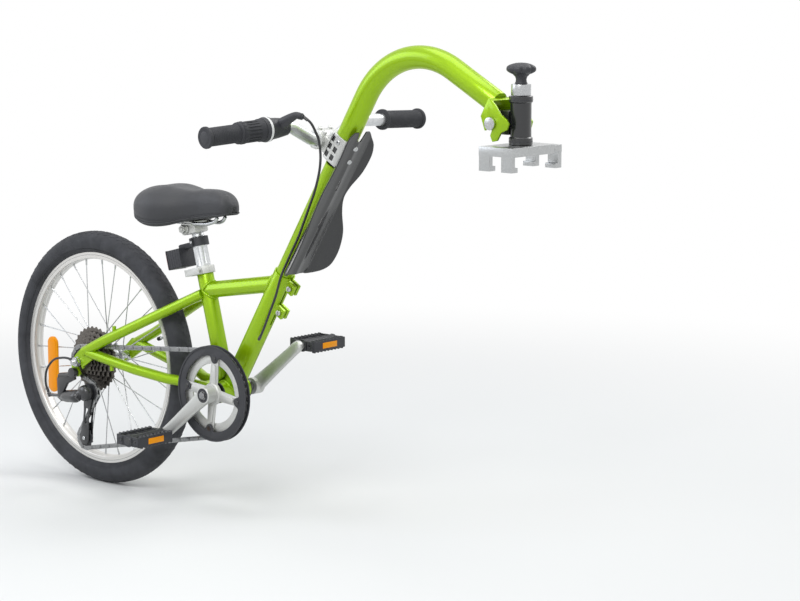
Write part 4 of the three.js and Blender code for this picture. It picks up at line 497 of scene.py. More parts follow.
def place_copies(tree, points, position, shape, turn):
    """Ends a group: copies of a shape at the points' new places, as one mesh."""
    set_at = add(tree, "GeometryNodeSetPosition", {
        "Geometry": points.outputs[0], "Position": position})
    copies = add(tree, "GeometryNodeInstanceOnPoints", {
        "Points": set_at.outputs[0], "Instance": shape, "Rotation": turn})
    real = add(tree, "GeometryNodeRealizeInstances", {"Geometry": copies.outputs[0]})
    add(tree, "NodeGroupOutput", {"Geometry": real.outputs[0]})
    return tree


def round_array():
    """Turns copies of the incoming shape round Z, a count of them through an arc."""
    tree, given = new_group("round_array", Count="Int", Step="Float", First="Float", Rise="Float")
    points = add(tree, "GeometryNodePoints", {"Count": given["Count"]})
    index = add(tree, "GeometryNodeInputIndex").outputs[0]
    angle = add(tree, "ShaderNodeMath", {
        0: index, 1: given["Step"], 2: given["First"]}, operation="MULTIPLY_ADD")
    lift = add(tree, "ShaderNodeMath", {0: index, 1: given["Rise"]}, operation="MULTIPLY")
    place, turn = (add(tree, "ShaderNodeCombineXYZ", {"Z": node.outputs[0]}).outputs[0]
                   for node in (lift, angle))
    return place_copies(tree, points, place, given["Geometry"], turn)


def chain_array():
    """Sets links along a closed path, every second place from a phase, level with its run."""
    tree, given = new_group("chain_array", Link="Object", Links="Int", Phase="Float")
    line = add(tree, "GeometryNodeMeshToCurve", {"Mesh": given["Geometry"]})
    pairs = add(tree, "ShaderNodeMath", {0: given["Links"], 1: 2.0}, operation="DIVIDE")
    points = add(tree, "GeometryNodePoints", {"Count": pairs.outputs[0]})
    index = add(tree, "GeometryNodeInputIndex")
    step = add(tree, "ShaderNodeMath", {
        0: index.outputs[0], 1: 2.0, 2: given["Phase"]}, operation="MULTIPLY_ADD")
    share = add(tree, "ShaderNodeMath", {0: step.outputs[0], 1: given["Links"]}, operation="DIVIDE")
    found = add(tree, "GeometryNodeSampleCurve", {
        "Curves": line.outputs[0], "Factor": share.outputs[0]}, mode="FACTOR").outputs
    turn = add(tree, "FunctionNodeAxesToRotation", {
        "Primary Axis": found["Tangent"], "Secondary Axis": (0.0, 1.0, 0.0)},
        primary_axis="X", secondary_axis="Y")
    link = add(tree, "GeometryNodeObjectInfo", {"Object": given["Link"]})
    return place_copies(tree, points, found["Position"], link.outputs["Geometry"],
                        turn.outputs[0])


ROUND, ALONG = round_array(), chain_array()


def holder_of(mesh, name):
    data = bpy.data.meshes.new(name)
    mesh.to_mesh(data)
    mesh.free()
    return linked(name, data)


def baked(holder, tree, values):
    """The tree's result on a holder, as a plain bmesh; the holder goes."""
    modifier = holder.modifiers.new("array", "NODES")
    modifier.node_group = tree
    for socket in tree.interface.items_tree:
        if socket.in_out == "INPUT" and socket.name in values:
            modifier[socket.identifier] = values[socket.name]
    bpy.context.view_layer.update()
    result = evaluated(holder)
    mesh = bmesh.new()
    mesh.from_mesh(result)
    bpy.data.meshes.remove(result)
    bpy.data.objects.remove(holder)
    return mesh


def ringed(mesh, count, step=None, first=0.0, rise=0.0):
    """count copies of a shape round local Z, through a full turn unless a step is given."""
    return baked(holder_of(mesh, "repeat"), ROUND, {
        "Count": count, "Step": 2 * pi / count if step is None else step, "First": first,
        "Rise": rise})


def mirrored(*parts):
    """The parts and their image across local z = 0."""
    whole = joined(*parts)
    return [moved(whole.copy(), Matrix.Diagonal((1, 1, -1, 1))), whole]


def fluted(profile, depth, steps):
    """A solid round Z from (radius, height, share): share of depth(angle) is taken off."""
    mesh = bmesh.new()
    rings = []
    for radius, height, share in profile:
        ring = [(a, radius - share * depth(a)) for a in turns(steps)]
        rings.append([mesh.verts.new((r * cos(a), r * sin(a), height)) for a, r in ring])
    return skin(mesh, rings)


def cubic(rows, at):
    """Smooth values between rows of (place, value, ...), through their neighbours."""
    i = sum(row[0] <= at for row in rows[1:-1])
    before, a, b, after = rows[max(0, i - 1)], rows[i], rows[i + 1], rows[min(len(rows) - 1, i + 2)]
    gap = b[0] - a[0]
    t = (at - a[0]) / gap
    out = []
    for k in range(1, len(a)):
        ma = (b[k] - before[k]) / (b[0] - before[0]) * gap
        mb = (after[k] - a[k]) / (after[0] - a[0]) * gap
        out.append((2 * t ** 3 - 3 * t * t + 1) * a[k] + (t ** 3 - 2 * t * t + t) * ma
                   + (3 * t * t - 2 * t ** 3) * b[k] + (t ** 3 - t * t) * mb)
    return out


def smooth_line(points, count):
    """Evenly stepped points on a smooth curve through the given ones."""
    out = []
    last = len(points) - 1
    for k in range(count + 1):
        t = k / count * last
        i = min(int(t), last - 1)
        t -= i
        p0, p1 = points[max(0, i - 1)], points[i]
        p2, p3 = points[i + 1], points[min(last, i + 2)]
        out.append(0.5 * ((2 * p1) + (p2 - p0) * t + (2 * p0 - 5 * p1 + 4 * p2 - p3) * t * t
                          + (3 * p1 - p0 - 3 * p2 + p3) * t ** 3))
    return out


# Places on the bicycle
MAST_WAY = Vector((cos(MAST_ANGLE), 0, sin(MAST_ANGLE)))
MAST_FRONT = Vector((MAST_WAY.z, 0, -MAST_WAY.x))
SEAT_WAY = Vector((-sin(SEAT_ANGLE), 0, cos(SEAT_ANGLE)))
SEAT_FOOT = CRANKS + Vector((-10, 0, 0))
MAST = axes(CRANKS, MAST_WAY, MAST_FRONT)
SEAT = axes(SEAT_FOOT, SEAT_WAY, (cos(SEAT_ANGLE), 0, sin(SEAT_ANGLE)))
WORLD = axes((0, 0, 0), Z, X)
WHEEL = axes(AXLE, Y, X)
CRANK = axes(CRANKS, Y, X)
HITCH = axes(HOME, Z, X)


def on_mast(s, n=0.0):
    return CRANKS + MAST_WAY * s + MAST_FRONT * n


def on_seat(s):
    return SEAT_FOOT + SEAT_WAY * s


# Wheel: the local Z of these makers is the axle, and their height runs to the rider's left.
def bend_arc(ring, radius, start, end, count):
    """Points of a round section, as (distance from the axle, height)."""
    return [(ring + radius * cos(radians(a)), radius * sin(radians(a)))
            for a in (start + (end - start) * i / count for i in range(count + 1))]


def make_tyre():
    ring, section, blocks = 226.5, 23.0, 84
    outside = bend_arc(ring, section, 112, -112, 40)
    profile = [(209.3, 11.4), *outside, (209.3, -11.4), (206, -9.6), (206, -6.0),
               *bend_arc(ring, 19.0, -124, 124, 16), (206, 6.0), (206, 9.6)]
    casing = lathe(profile, 144, closed=True)
    piece("tyre_casing", casing, WHEEL, "wheel", TYRE, ["tyre"], 50)
    # Tread: a shallow centre rib of slanted blocks with finer blocks beside it.
    rows = []
    for across, wide, turn, phase in ((0, 7.6, 14, 0), (22, 6.2, -20, 0.5), (-22, 6.2, 20, 0.5)):
        block = box(-1.1, 0.22, -6.4, 6.4, -wide / 2, wide / 2, 0.2)
        block.transform(
            Matrix.Translation((ring, 0, 0)) @ Matrix.Rotation(radians(-across), 4, "Y")
            @ Matrix.Translation((section, 0, 0)) @ Matrix.Rotation(radians(turn), 4, "X"))
        rows.append(ringed(block, blocks, first=phase * 2 * pi / blocks))
    piece("tyre_tread", joined(*rows), WHEEL, "wheel", TYRE, (), 20)
    # A raised line just above the rim shows that the bead is seated.
    line = lathe([(214.6, 19.9), (215.4, 20.5), (216.2, 20.9), (215.4, 19.4)], 144, closed=True)
    piece("tyre_bead_line", joined(*mirrored(line)), WHEEL, "wheel", TYRE)


def make_rim():
    wall = [(209, 12), (209, 10.6), (206.5, 9.8), (201.5, 9.8), (201, 6), (200.6, 0)]
    inside = wall + [(r, -y) for r, y in reversed(wall[:-1])]
    face = [(198.5, -12), (197.5, -12), (197, -11.6), (195.2, -6.5), (194.6, 0)]
    outer = [(209, -12), *face] + [(r, -y) for r, y in reversed(face[:-1])] + [(209, 12)]
    piece("rim_section", lathe(inside + outer[:-1], 144, closed=True), WHEEL, "wheel",
          RIM, ["rim"], 40)
    # Wear line in each brake track: a thin darker ring that draws the indicator groove, its
    # darkness painted shade of the groove
    wear_groove_shade = lathe([(203.4, 12.02), (203.8, 12.12), (204.2, 12.02)], 144, closed=True)
    piece("rim_wear_line", joined(*mirrored(wear_groove_shade)), WHEEL, "wheel", CHAIN)


def make_spokes():
    """Both sides' wires, each in two sets that lean opposite ways, with heads and nipples."""
    pitch, holes, bed = 2 * pi / 14, 21, 194.6
    for name, height, shift, at_rim in (
            ("spokes_right", -17, 0, -1.3), ("spokes_left", 30, 0.5, 1.3)):
        sets = []
        for way in SIDES:
            rim, out, turn = Vector((bed, 0, at_rim)), Z * 1.9 * way, way * 2 * pitch
            hole = Vector((holes * cos(turn), holes * sin(turn), height))
            root = hole + out
            ahead = (rim - root).normalized()
            foot = hole - out * 1.2
            path = [foot, root - out * 0.4, root + ahead * 2.0, rim]
            wire = sweep(path, circle(1.05, 8), up=Vector((0.1, 0.3, 1)))
            head = rod(foot - out * 0.25, foot, 1.9, steps=12)
            nipple = rod(rim - ahead * 11, rim + ahead * 1.5, 1.6, 2.1, steps=12)
            sets.append(ringed(joined(wire, head, nipple), 7, 2 * pitch,
                               (shift + (way > 0)) * pitch))
        piece(f"{name}_wires", joined(*sets), WHEEL, "wheel", ZINC, [name], 50)


def make_hub():
    profile = [(5.4, -19.5), (13, -19.5), (14, -18.7), (23, -18.5), (24, -18), (24, -16),
               (23, -15.5), (15, -15.3), (12.6, -12), (11.2, -4), (11, 6), (11.2, 17), (12.6, 25),
               (15, 28.3), (23, 28.5), (24, 29), (24, 31), (23, 31.5), (15.5, 32), (13.4, 36),
               (12.4, 46), (10.6, 50), (10, 57), (5.4, 57)]
    piece("hub_body", lathe(profile, 64, closed=True), WHEEL, "wheel", ALLOY,
          ["hub_shell"], 30)
    # Axle: threaded ends with a nut and a serrated washer on each, and thin lock nuts inside.
    parts = [rod((0, 0, -82), (0, 0, 82), 4.7, steps=24, edge=0.8)]
    for first in (-81, 75.5):
        thread = lathe([(4.6, 0), (5.0, 0.35), (4.6, 0.7)], 24, closed=True)
        parts.append(moved(ringed(thread, 8, 0.0, rise=0.8), Matrix.Translation((0, 0, first))))
    parts += mirrored(hexagon(17, 67.6, 74.2), washer(5.2, 9.6, 66.3, 67.4),
                      washer(5.2, 7.8, 58.2, 61.0, 6))
    piece("wheel_axle_nuts", joined(*parts), WHEEL, "frame", ZINC,
          ["wheel_axle"], 30)
    # Valve: its stem through the rim with a nut, and a ribbed cap
    turn = radians(18.8)
    way = Vector((cos(turn), -sin(turn), 0))
    stem = rod(way * 176, way * 200, 3.0, steps=20, edge=0.3)
    cap = rod(way * 168.5, way * 178, 3.1, 3.8, steps=20, edge=0.5)
    ribs = [rod(way * (170.5 + i * 1.4), way * (171.1 + i * 1.4), 3.9, steps=20) for i in range(4)]
    nut = rod(way * 191.6, way * 194.2, 5.4, steps=6)
    piece("valve_stem", joined(stem, nut), WHEEL, "wheel", ZINC, ["inner_tube"])
    piece("valve_cap", joined(cap, *ribs), WHEEL, "wheel", NYLON)


def make_spoke_reflector():
    """A long amber shell between the spokes with its lens inside and two clips."""
    low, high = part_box("wheel_reflector")
    y0, y1, x = low.y * 1000, high.y * 1000, -140
    parts = [plate(capsule(x, -12.5, radius, x, 72.5, radius, 20), bottom, top, edge=edge)
             for radius, bottom, top, edge in ((14, y0 + 0.8, y1, 0.8), (11.4, y0, y0 + 1.4, 0.4))]
    parts += [rod((x, z, y1 - 0.4), (x, z, y1 + 1.6), 2.4, steps=16) for z in (-8, 68)]
    piece("spoke_reflector", joined(*parts), WHEEL, "wheel", AMBER,
          ["wheel_reflector"])


def cog_outline(teeth, radius):
    """Chain teeth: rounded gullets for the rollers between short curved tips."""
    ring = []
    step = 2 * pi / teeth
    for i in range(teeth):
        for share, r in ((0.0, radius - 2.4), (0.12, radius - 2.1), (0.26, radius - 0.8),
                         (0.4, radius + 0.9), (0.5, radius + 1.2), (0.6, radius + 0.9),
                         (0.74, radius - 0.8), (0.88, radius - 2.1)):
            a = (i + share) * step
            ring.append((r * cos(a), r * sin(a)))
    return ring


def pitch_radius(teeth):
    return CHAIN_PITCH * teeth / 2 / pi


def make_cassette():
    """Seven cogs with spacers between them on one body, the large ones with round holes."""
    parts, large, spacing = [], 45, 5
    for i, teeth in enumerate(COGS_IN_ORDER):
        line = -(22 + i * spacing)
        radius = pitch_radius(teeth)
        inside = 19.2 if teeth > 16 else 17.5
        holes = [circle(inside, 40)]
        if radius > large:
            spread = (inside + radius - 6) / 2
            holes += [circle((radius - inside) * 0.2, 16, spread * cos(a), spread * sin(a))
                      for a in turns(8)]
        parts.append(plate(cog_outline(teeth, radius - 1.9), line - 1.0, line + 1.0, holes, 0.25))
        if teeth > DRIVE_TEETH:
            parts.append(washer(17.4, 18.9, line - 3.9, line - 1.0))
    body = lathe([(5.4, -56), (13, -56), (14, -55), (14, -53.4), (17.4, -53.4), (17.4, -20.4),
                  (5.4, -20.4)], 48, closed=True)
    slots = ringed(box(11.0, 13.6, -1.4, 1.4, -56.3, -54.5, 0.2), 12)
    piece("cog_stack", joined(*parts, body, slots), WHEEL, "freewheel", COGS,
          ["cassette"], 30)


# Chain: links on the same closed path as the solid's
def chain_path():
    """Round the smallest cog, the chainring and both pulleys, as points in world axes."""
    circles = [(AXLE.x, AXLE.z, pitch_radius(DRIVE_TEETH), -1, 52),
               (CRANKS.x, CRANKS.z, pitch_radius(RING_TEETH), -1, 44)]
    circles += [(x, AXLE.z - down, pitch_radius(PULLEY_TEETH), way, 52)
                for (x, down), way in ((LOWER_PULLEY, -1), (UPPER_PULLEY, 1))]
    headings = []
    for i, (x, z, r, way, _) in enumerate(circles):
        x1, z1, r1, way1, _ = circles[(i + 1) % 4]
        lean = asin((r1 * way1 - r * way) / hypot(x1 - x, z1 - z))
        headings.append(atan2(z1 - z, x1 - x) - lean)
    points = []
    for i, (x, z, r, way, line) in enumerate(circles):
        into, swing = headings[i - 1], headings[i] - headings[i - 1]
        while swing * way < 0:
            swing += way * 2 * pi
        while swing * way > 2 * pi:
            swing -= way * 2 * pi
        count = max(8, ceil(abs(swing) / 0.05))
        for k in range(count + 1):
            a = into + k / count * swing
            points.append(Vector((x + r * way * sin(a), -line, z - r * way * cos(a))))
    return points


def make_chain():
    points = chain_path()
    run = sum((b - a).length for a, b in zip(points, points[1:] + points[:1]))
    links = 2 * round(run / CHAIN_PITCH / 2)
    pitch = run / links

    def side_plate(y0, y1):
        ring = capsule(-pitch / 2, 0, 4.1, pitch / 2, 0, 4.1, 8)
        ring = [(x, z * (0.72 + 0.28 * min(1, abs(x) / (pitch / 2)))) for x, z in ring]
        flat = plate(ring, y0, y1, edge=0.2)
        flat.transform(Matrix.Rotation(radians(90), 4, "X"))
        return flat

    def link_of(low, high, pin, radius, steps):
        pins = [rod((x, -pin, 0), (x, pin, 0), radius, steps=steps)
                for x in (-pitch / 2, pitch / 2)]
        return joined(side_plate(low, high), side_plate(-high, -low), *pins)

    inner, outer = link_of(1.5, 2.3, 1.5, 3.85, 12), link_of(2.4, 3.1, 3.4, 1.8, 10)
    sets = []
    for shape, phase in ((inner, 0.0), (outer, 1.0)):
        link = holder_of(shape, "link")
        route = bmesh.new()
        corners = [route.verts.new(p) for p in points]
        for a, b in zip(corners, corners[1:] + corners[:1]):
            route.edges.new((a, b))
        sets.append(baked(holder_of(route, "route"), ALONG, {
            "Link": link, "Links": links, "Phase": phase}))
        bpy.data.objects.remove(link)
    piece("chain_links", joined(*sets), WORLD, "frame", CHAIN, ["chain"], 35)


make_tyre()
make_rim()
make_spokes()
make_hub()
make_spoke_reflector()
make_cassette()
make_chain()


# Frame tubes: the solids' own tubes with round shading, their ends eased
for node, width in (
        ("down_tube_sleeve", 0.6), ("seat_tube", 0.4), ("top_tube", 0.0),
        ("bottom_bracket_shell", 0.5), ("chain_stay_right", 0.0), ("chain_stay_left", 0.0),
        ("seat_stay_right", 0.0), ("seat_stay_left", 0.0), ("yoke", 0.8)):
    refined(node, "frame", LIME, width, 46)


def make_mast():
    tube = lathe([(14.2, 60), (16.2, 60), (16.7, 60.5), (16.7, 516.5), (16.2, 517), (14.2, 517)],
                 64, closed=True)
    piece("mast_upright", tube, MAST, "frame", LIME, ["mast_tube"])


def weld(start, way, radius, root, root_way, root_radius, bead=2.4):
    """A rippled bead where one round tube lands on another, as a closed rope of weld pools."""
    start, way = Vector(start), Vector(way).normalized()
    root, root_way = Vector(root), Vector(root_way).normalized()
    side = way.cross(root_way).normalized()
    front = side.cross(way)
    proud = 0.2
    points = []
    for a in turns(72):
        ray = start + (side * cos(a) + front * sin(a)) * (radius + proud)
        off = ray - root
        u = way - root_way * way.dot(root_way)
        v = off - root_way * off.dot(root_way)
        qa, qb, qc = u.dot(u), 2 * u.dot(v), v.dot(v) - (root_radius + proud) ** 2
        room = qb * qb - 4 * qa * qc
        if room >= 0:
            points.append(ray + way * ((-qb + sqrt(room)) / (2 * qa)))
    scales = [(1 + 0.16 * sin(i * pi / 1.5),) * 2 for i in range(len(points))]
    return sweep(points, circle(bead, 10), up=way, closed=True, scales=scales)


def make_welds():
    # The top tube climbs from the seat tube to the sleeve; sleeve and seat tube stand on the
    # crank shell.
    climb, top_start = radians(9.5), on_seat(190)
    top_way = Vector((cos(climb), 0, sin(climb)))
    beads = [weld(top_start, top_way, THIN, SEAT_FOOT, SEAT_WAY, THIN),
             weld(top_start + top_way * 260, -top_way, THIN, CRANKS, MAST_WAY, STOUT),
             weld(CRANKS, MAST_WAY, STOUT, CRANKS, Y, STOUT, 2.2),
             weld(SEAT_FOOT, SEAT_WAY, THIN, CRANKS, Y, STOUT, 2.2)]
    piece("frame_welds", joined(*beads), WORLD, "frame", LIME, (), 80)


# Cranks: local Z runs to the rider's left, local X along the right-hand arm.
ARMS = CRANK @ Matrix.Rotation(CRANK_ANGLE, 4, "Z")


def make_rings():
    radius = pitch_radius(RING_TEETH)
    step = 2 * pi / SPIDER_ARMS
    guard, opening, ease = 90, 72.0, 4
    tabs = [circle(4.6, 20, BOLT_RING * cos(a + step / 2), BOLT_RING * sin(a + step / 2))
            for a in turns(SPIDER_ARMS)]
    ring = plate(cog_outline(RING_TEETH, radius - 1.9), -45.3, -42.7, [circle(56, 96), *tabs], 0.3)
    piece("chainring_plate", ring, ARMS, "crank", FORGED, ["chainring"], 30)
    # The guard's window, with round tabs that reach in over the ring's bolts
    window = []
    for a in turns(320):
        span = abs(a % step - step / 2) * BOLT_RING
        reach = opening
        if span < TAB_HALF:
            reach = BOLT_RING - sqrt(TAB_HALF ** 2 - span ** 2)
        elif span < TAB_HALF + ease:
            reach -= 5.0 * ((TAB_HALF + ease - span) / ease) ** 2
        window.append((reach * cos(a), reach * sin(a)))
    discs = [plate(circle(guard, 128), low, high, [window], 0.7)
             for low, high in ((-51, -49), (-40.4, -38.4))]
    rim = washer(86.5, guard, -51.8, -50.8, 128)

    def at_bolts(*stages):
        parts = [rod((BOLT_RING, 0, low), (BOLT_RING, 0, high), r, steps=steps, edge=edge)
                 for low, high, r, steps, edge in stages]
        return ringed(joined(*parts), SPIDER_ARMS, first=step / 2)

    posts = at_bolts((-51, -38.4, 3.9, 20, 0))
    piece("guard_discs", joined(*discs, rim, posts), ARMS, "crank", NYLON,
          ["chain_guard"], 30)
    bolts = at_bolts((-52.2, -50.9, 4.8, 24, 0.4), (-52.4, -52.0, 2.2, 6, 0))
    piece("ring_bolts", bolts, ARMS, "crank", ENAMEL)


def crank_arm(side, boss_in):
    """A forged arm: a round boss, a tapering bar and the eye for the pedal's spindle."""
    way = -side
    stations = [
        # along, half width, half depth
        (-15.4, 4.0, 3.0), (-13, 9.4, 5.2), (-8, 13.6, 6.2), (0, 15.6, 6.5), (12, 15.0, 6.5),
        (30, 14.0, 6.4), (60, 12.8, 6.2), (90, 11.9, 6.0), (112, 11.3, 6.0), (126, 11.0, 6.3),
        (138, 11.0, 6.5), (145, 9.6, 6.2), (149, 6.4, 5.2), (150.8, 2.6, 3.2)]
    path = [(way * x, 0, side * 66.5) for x, _, _ in stations]
    bar = sweep(path, oval(1, 1, 2.9, 36), up=Y, scales=[(b, a) for _, a, b in stations])
    low, high = sorted((side * boss_in, side * 74))
    boss = lathe([(8.6, low), (15.2, low), (16, low + 0.8), (16, high - 0.8), (15.2, high),
                  (8.6, high)], 64, closed=True)
    reach = way * CRANK_REACH
    spindle = rod((reach, 0, side * 66), (reach, 0, side * 160), 5.9, steps=32, edge=0.8)
    collar = rod((reach, 0, side * 72.6), (reach, 0, side * 76.4), 8.0, steps=6)
    return [bar, boss, spindle, collar]


def make_cranks():
    spider = []
    for k in range(SPIDER_ARMS):
        blade = plate(capsule(0, 0, 11.2, BOLT_RING, 0, 8.5, 14), -48.5, -45.6,
                      [circle(4.2, 20, BOLT_RING, 0)], 0.8)
        ridge = plate(capsule(12, 0, 8.0, 51, 0, 5.0, 10), -50.4, -48.2, edge=0.9)
        turn = Matrix.Rotation(2 * pi * (k + 0.5) / SPIDER_ARMS, 4, "Z")
        spider += [moved(blade, turn), moved(ridge, turn)]
    hub = lathe([(8.6, -52), (19, -52), (20.5, -50.4), (21.5, -45.6), (8.6, -45.6)], 64,
                closed=True)
    for name, node, parts in (
            ("crank_right_forging", "crank_arm_right", [*crank_arm(-1, 45.6), *spider, hub]),
            ("crank_left_forging", "crank_arm_left", crank_arm(1, 52))):
        piece(name, joined(*parts), ARMS, "crank", FORGED, [node], 36)
    parts = [rod((0, 0, -71), (0, 0, 71), 7.9),
             *mirrored(hexagon(13, 71.5, 76.4), washer(4, 10, 71.2, 72.4))]
    piece("crank_axle_bolts", joined(*parts), ARMS, "crank", CHAIN,
          ["crank_axle"], 30)
    # A thin black ring round each crank bolt stands for the shade in the recess the bolt sits in:
    # painted shade.
    bolt_recess_shade = lathe([(8.3, 73.2), (8.3, 74.2), (13.2, 74.3), (13.8, 73.6)], 48, closed=True)
    piece("crank_bolt_wells", joined(*mirrored(bolt_recess_shade)), ARMS, "crank", NYLON)
    refined("bottom_bracket_unit", "frame", ENAMEL, 0.5, 30)


def make_pedals():
    arm = Vector((cos(CRANK_ANGLE), 0, -sin(CRANK_ANGLE)))
    near, long, teeth = 77.0, 86.0, 9
    for node, body, side in (("pedal_right", "right_pedal", -1), ("pedal_left", "left_pedal", 1)):
        home = axes(CRANKS + arm * CRANK_REACH * -side, Z, X)

        def ys(a, b):
            """The span from a to b past the pedal's inner end, lower value first."""
            return sorted((side * (near + a), side * (near + b)))

        parts = []
        for a, b in ((0, 5.5), (80.5, long)):
            low, high = ys(a, b)
            end = plate(capsule(-21, 0, 9.5, 21, 0, 9.5, 10), -high, -low,
                        [circle(3.2, 14, x, 0) for x in (-19, 19)], 1.2)
            parts.append(moved(end, Matrix.Rotation(radians(90), 4, "X")))
        # Toothed cage walls, front and rear
        upper = []
        for i in range(teeth * 6 + 1):
            share = i / (teeth * 6)
            lift = 2.3 * max(0.0, sin(share * teeth * 2 * pi)) ** 0.6
            upper.append((side * (near + 1.5 + share * 83), 9.5 + lift))
        for x in (-28, 28):
            wall = plate(upper + [(y, -z) for y, z in reversed(upper)], -3.6, 3.6, edge=0.5)
            wall.transform(Matrix(((0, 0, 1, x), (1, 0, 0, 0), (0, 1, 0, 0), (0, 0, 0, 1))))
            parts.append(wall)
        low, high = ys(0.5, 85.5)
        barrel = lathe([(7, low), (11.4, low), (12, low + 2), (10.2, low + 9),
                        (9.4, (low + high) / 2), (10.2, high - 9), (12, high - 2), (11.4, high),
                        (7, high)], 40, closed=True)
        parts.append(moved(barrel, Matrix.Rotation(radians(-90), 4, "X")))
        parts += [box(-27, 27, *ys(a - 2, a + 2), -7.5, 7.5, 0.8) for a in (22, 43, 64)]
        parts += [box(x - 1.4, x + 1.4, *ys(0, long), -8.5, 8.5, 0.5) for x in (-12.5, 12.5)]
        piece(f"{node}_cage", joined(*parts), home, body, NYLON, [node], 34)
        lenses = [box(*sorted((x * 30.2, x * 32.3)), *ys(24, 62), -5.4, 5.4, 0.7) for x in SIDES]
        piece(f"{node}_reflectors", joined(*lenses), home, body, AMBER)
        low, high = ys(84.6, 86.4)
        caps = [rod((0, low, 0), (0, high, 0), 7.4, edge=0.6)]
        caps += [rod((x, low, 0), (x, high + 0.01, 0), 2.8, steps=16, edge=0.4) for x in (-19, 19)]
        piece(f"{node}_cap", joined(*caps), home, body, ENAMEL)


make_mast()
make_welds()
make_rings()
make_cranks()
make_pedals()


# Changer: the solids' bodies with eased edges, toothed pulleys and bright pins
for node, body in (("derailleur_bracket", "frame"), ("derailleur_link", "changer_link"),
                   ("derailleur_knuckle", "changer_knuckle")):
    refined(node, body, ENAMEL, 0.9, 40, 3)


def make_changer_shells():
    """The full, rounded castings that the link, the knuckle and the bracket carry."""
    slant = Vector((0, sin(radians(45)), cos(radians(45))))
    rest = Matrix.Rotation(radians(-12), 4, slant)
    link_way = (rest @ X).normalized()
    link_start = Vector((0, -71, 183)) - link_way * 40
    place = axes(link_start, rest @ slant, link_way)
    stations = [
        # along, half width, half depth
        (-9, 3.0, 4.0), (-7, 7.5, 7.6), (-2, 10.6, 9.6), (8, 11.6, 10.6), (22, 11.8, 11.0),
        (34, 12.6, 11.2), (42, 12.4, 10.8), (48, 9.6, 9.2), (51, 4.0, 5.0)]
    shell = sweep([(x, 0, -1.2) for x, _, _ in stations], oval(1, 1, 2.6, 32), up=Z,
                  scales=[(b, a) for _, a, b in stations])
    piece("changer_link_shell", shell, place, "changer_link", ENAMEL, (), 50)
    knuckle = lathe([(0, -77.5), (7, -77), (12, -75), (15, -71.5), (16, -66), (15.6, -61),
                     (14, -59.6), (0, -59.6)], 56)
    knuckle.transform(Matrix.Translation((*UPPER_PULLEY, 0)))
    arm = sweep([(20, 60, -68), (14, 62, -70), (6, 66, -71)], circle(11, 28), up=Z,
                scales=[(1.15, 0.7), (1, 0.72), (0.9, 0.76)])
    piece("changer_knuckle_shell", joined(knuckle, arm), WHEEL, "changer_knuckle",
          ENAMEL, (), 46)
    # The bracket's cast web, from the hanger's boss down to the rear of the link
    web = plate([(-6, 18), (-28, 24), (-50, 28), (-57, 40), (-56, 76), (-46, 79), (-40, 66),
                 (-26, 46), (-4, 36)], -72.5, -65.6, edge=1.8)
    piece("changer_bracket_web", web, WHEEL, "frame", ENAMEL, (), 40)


def make_changer():
    pulleys = (UPPER_PULLEY, LOWER_PULLEY)
    for node, body, at in zip(("guide_pulley", "tension_pulley"), ("upper_pulley", "lower_pulley"),
                              pulleys):
        wheel = plate(cog_outline(PULLEY_TEETH, pitch_radius(PULLEY_TEETH) - 1.9), -53.1, -50.9,
                      [circle(6, 32)], 0.25)
        ring = lathe([(3.2, -54.4), (7, -54.4), (7.4, -53.4), (7.4, -50.6), (7, -49.6),
                      (3.2, -49.6)], 32, closed=True)
        place = WHEEL @ Matrix.Translation((*at, 0))
        piece(f"{node}_wheel", joined(wheel, ring), place, body, NYLON, [node], 30)
    # Cage: two pressed plates that narrow between the pulleys, with a lightening slot
    (x0, y0), (x1, y1) = pulleys
    end = 13
    waist = ((0.2, 11.5), (0.4, 8.5), (0.6, 8.0), (0.8, 10.5))
    outline = []
    for x, y, turn, side, widths in ((x0, y0, pi, 1, waist), (x1, y1, 0, -1, waist[::-1])):
        angles = [turn + pi * k / 32 for k in range(33)]
        outline += [(x + end * cos(a), y + end * sin(a)) for a in angles]
        outline += [(x0 + (x1 - x0) * share + side * wide, y0 + (y1 - y0) * share)
                    for share, wide in widths]
    slot = capsule(x0 - 5.5, y0 + 35, 3.2, x1 + 5, y1 - 33, 3.2, 8)
    parts = [plate(outline, low, high, [slot], 0.4)
             for low, high in ((-58.0, -56.5), (-47.5, -46.0))]
    parts += [rod((x, y, -58.9), (x, y, -45.4), 2.4, steps=16) for x, y in pulleys]
    piece("changer_cage_plates", joined(*parts), WHEEL, "changer_cage", ENAMEL,
          ["derailleur_cage"], 34)
    bolts = []
    for x, y in pulleys:
        bolts += [rod((x, y, -59.9), (x, y, -58.0), 3.9, steps=24, edge=0.5),
                  rod((x, y, -46.0), (x, y, -45.0), 3.4, steps=6)]
    piece("changer_cage_bolts", joined(*bolts), WHEEL, "changer_cage", ZINC)


make_changer()
make_changer_shells()


# Seat
def make_seatpost():
    radius, groove_half, groove_deep = 13.6, 2.6, 2.0

    def grooves(a):
        """Two grooves to a side, each a shallow valley with soft shoulders."""
        deep = 0.0
        for centre in (-0.35, 0.35, pi - 0.35, pi + 0.35, -1.22, -1.92, 1.22, 1.92):
            off = abs((a - centre + pi) % (2 * pi) - pi) * radius
            if off < groove_half:
                deep = max(deep, groove_deep * cos(off / groove_half * pi / 2) ** 0.7)
        return deep

    profile = [(radius, height, share) for height, share in (
        (75, 0), (234, 0), (238, 0.4), (241, 1), (270, 1), (273, 0.4), (275, 0), (291.4, 0))]
    profile += [(13.2, 292, 0), (11.4, 292.6, 0), (11.1, 293, 0), (11.1, 311.6, 0), (10.6, 312, 0)]
    piece("seatpost_fluted", fluted(profile, grooves, 120), SEAT, "seat", ALLOY,
          ["seatpost"], 50)


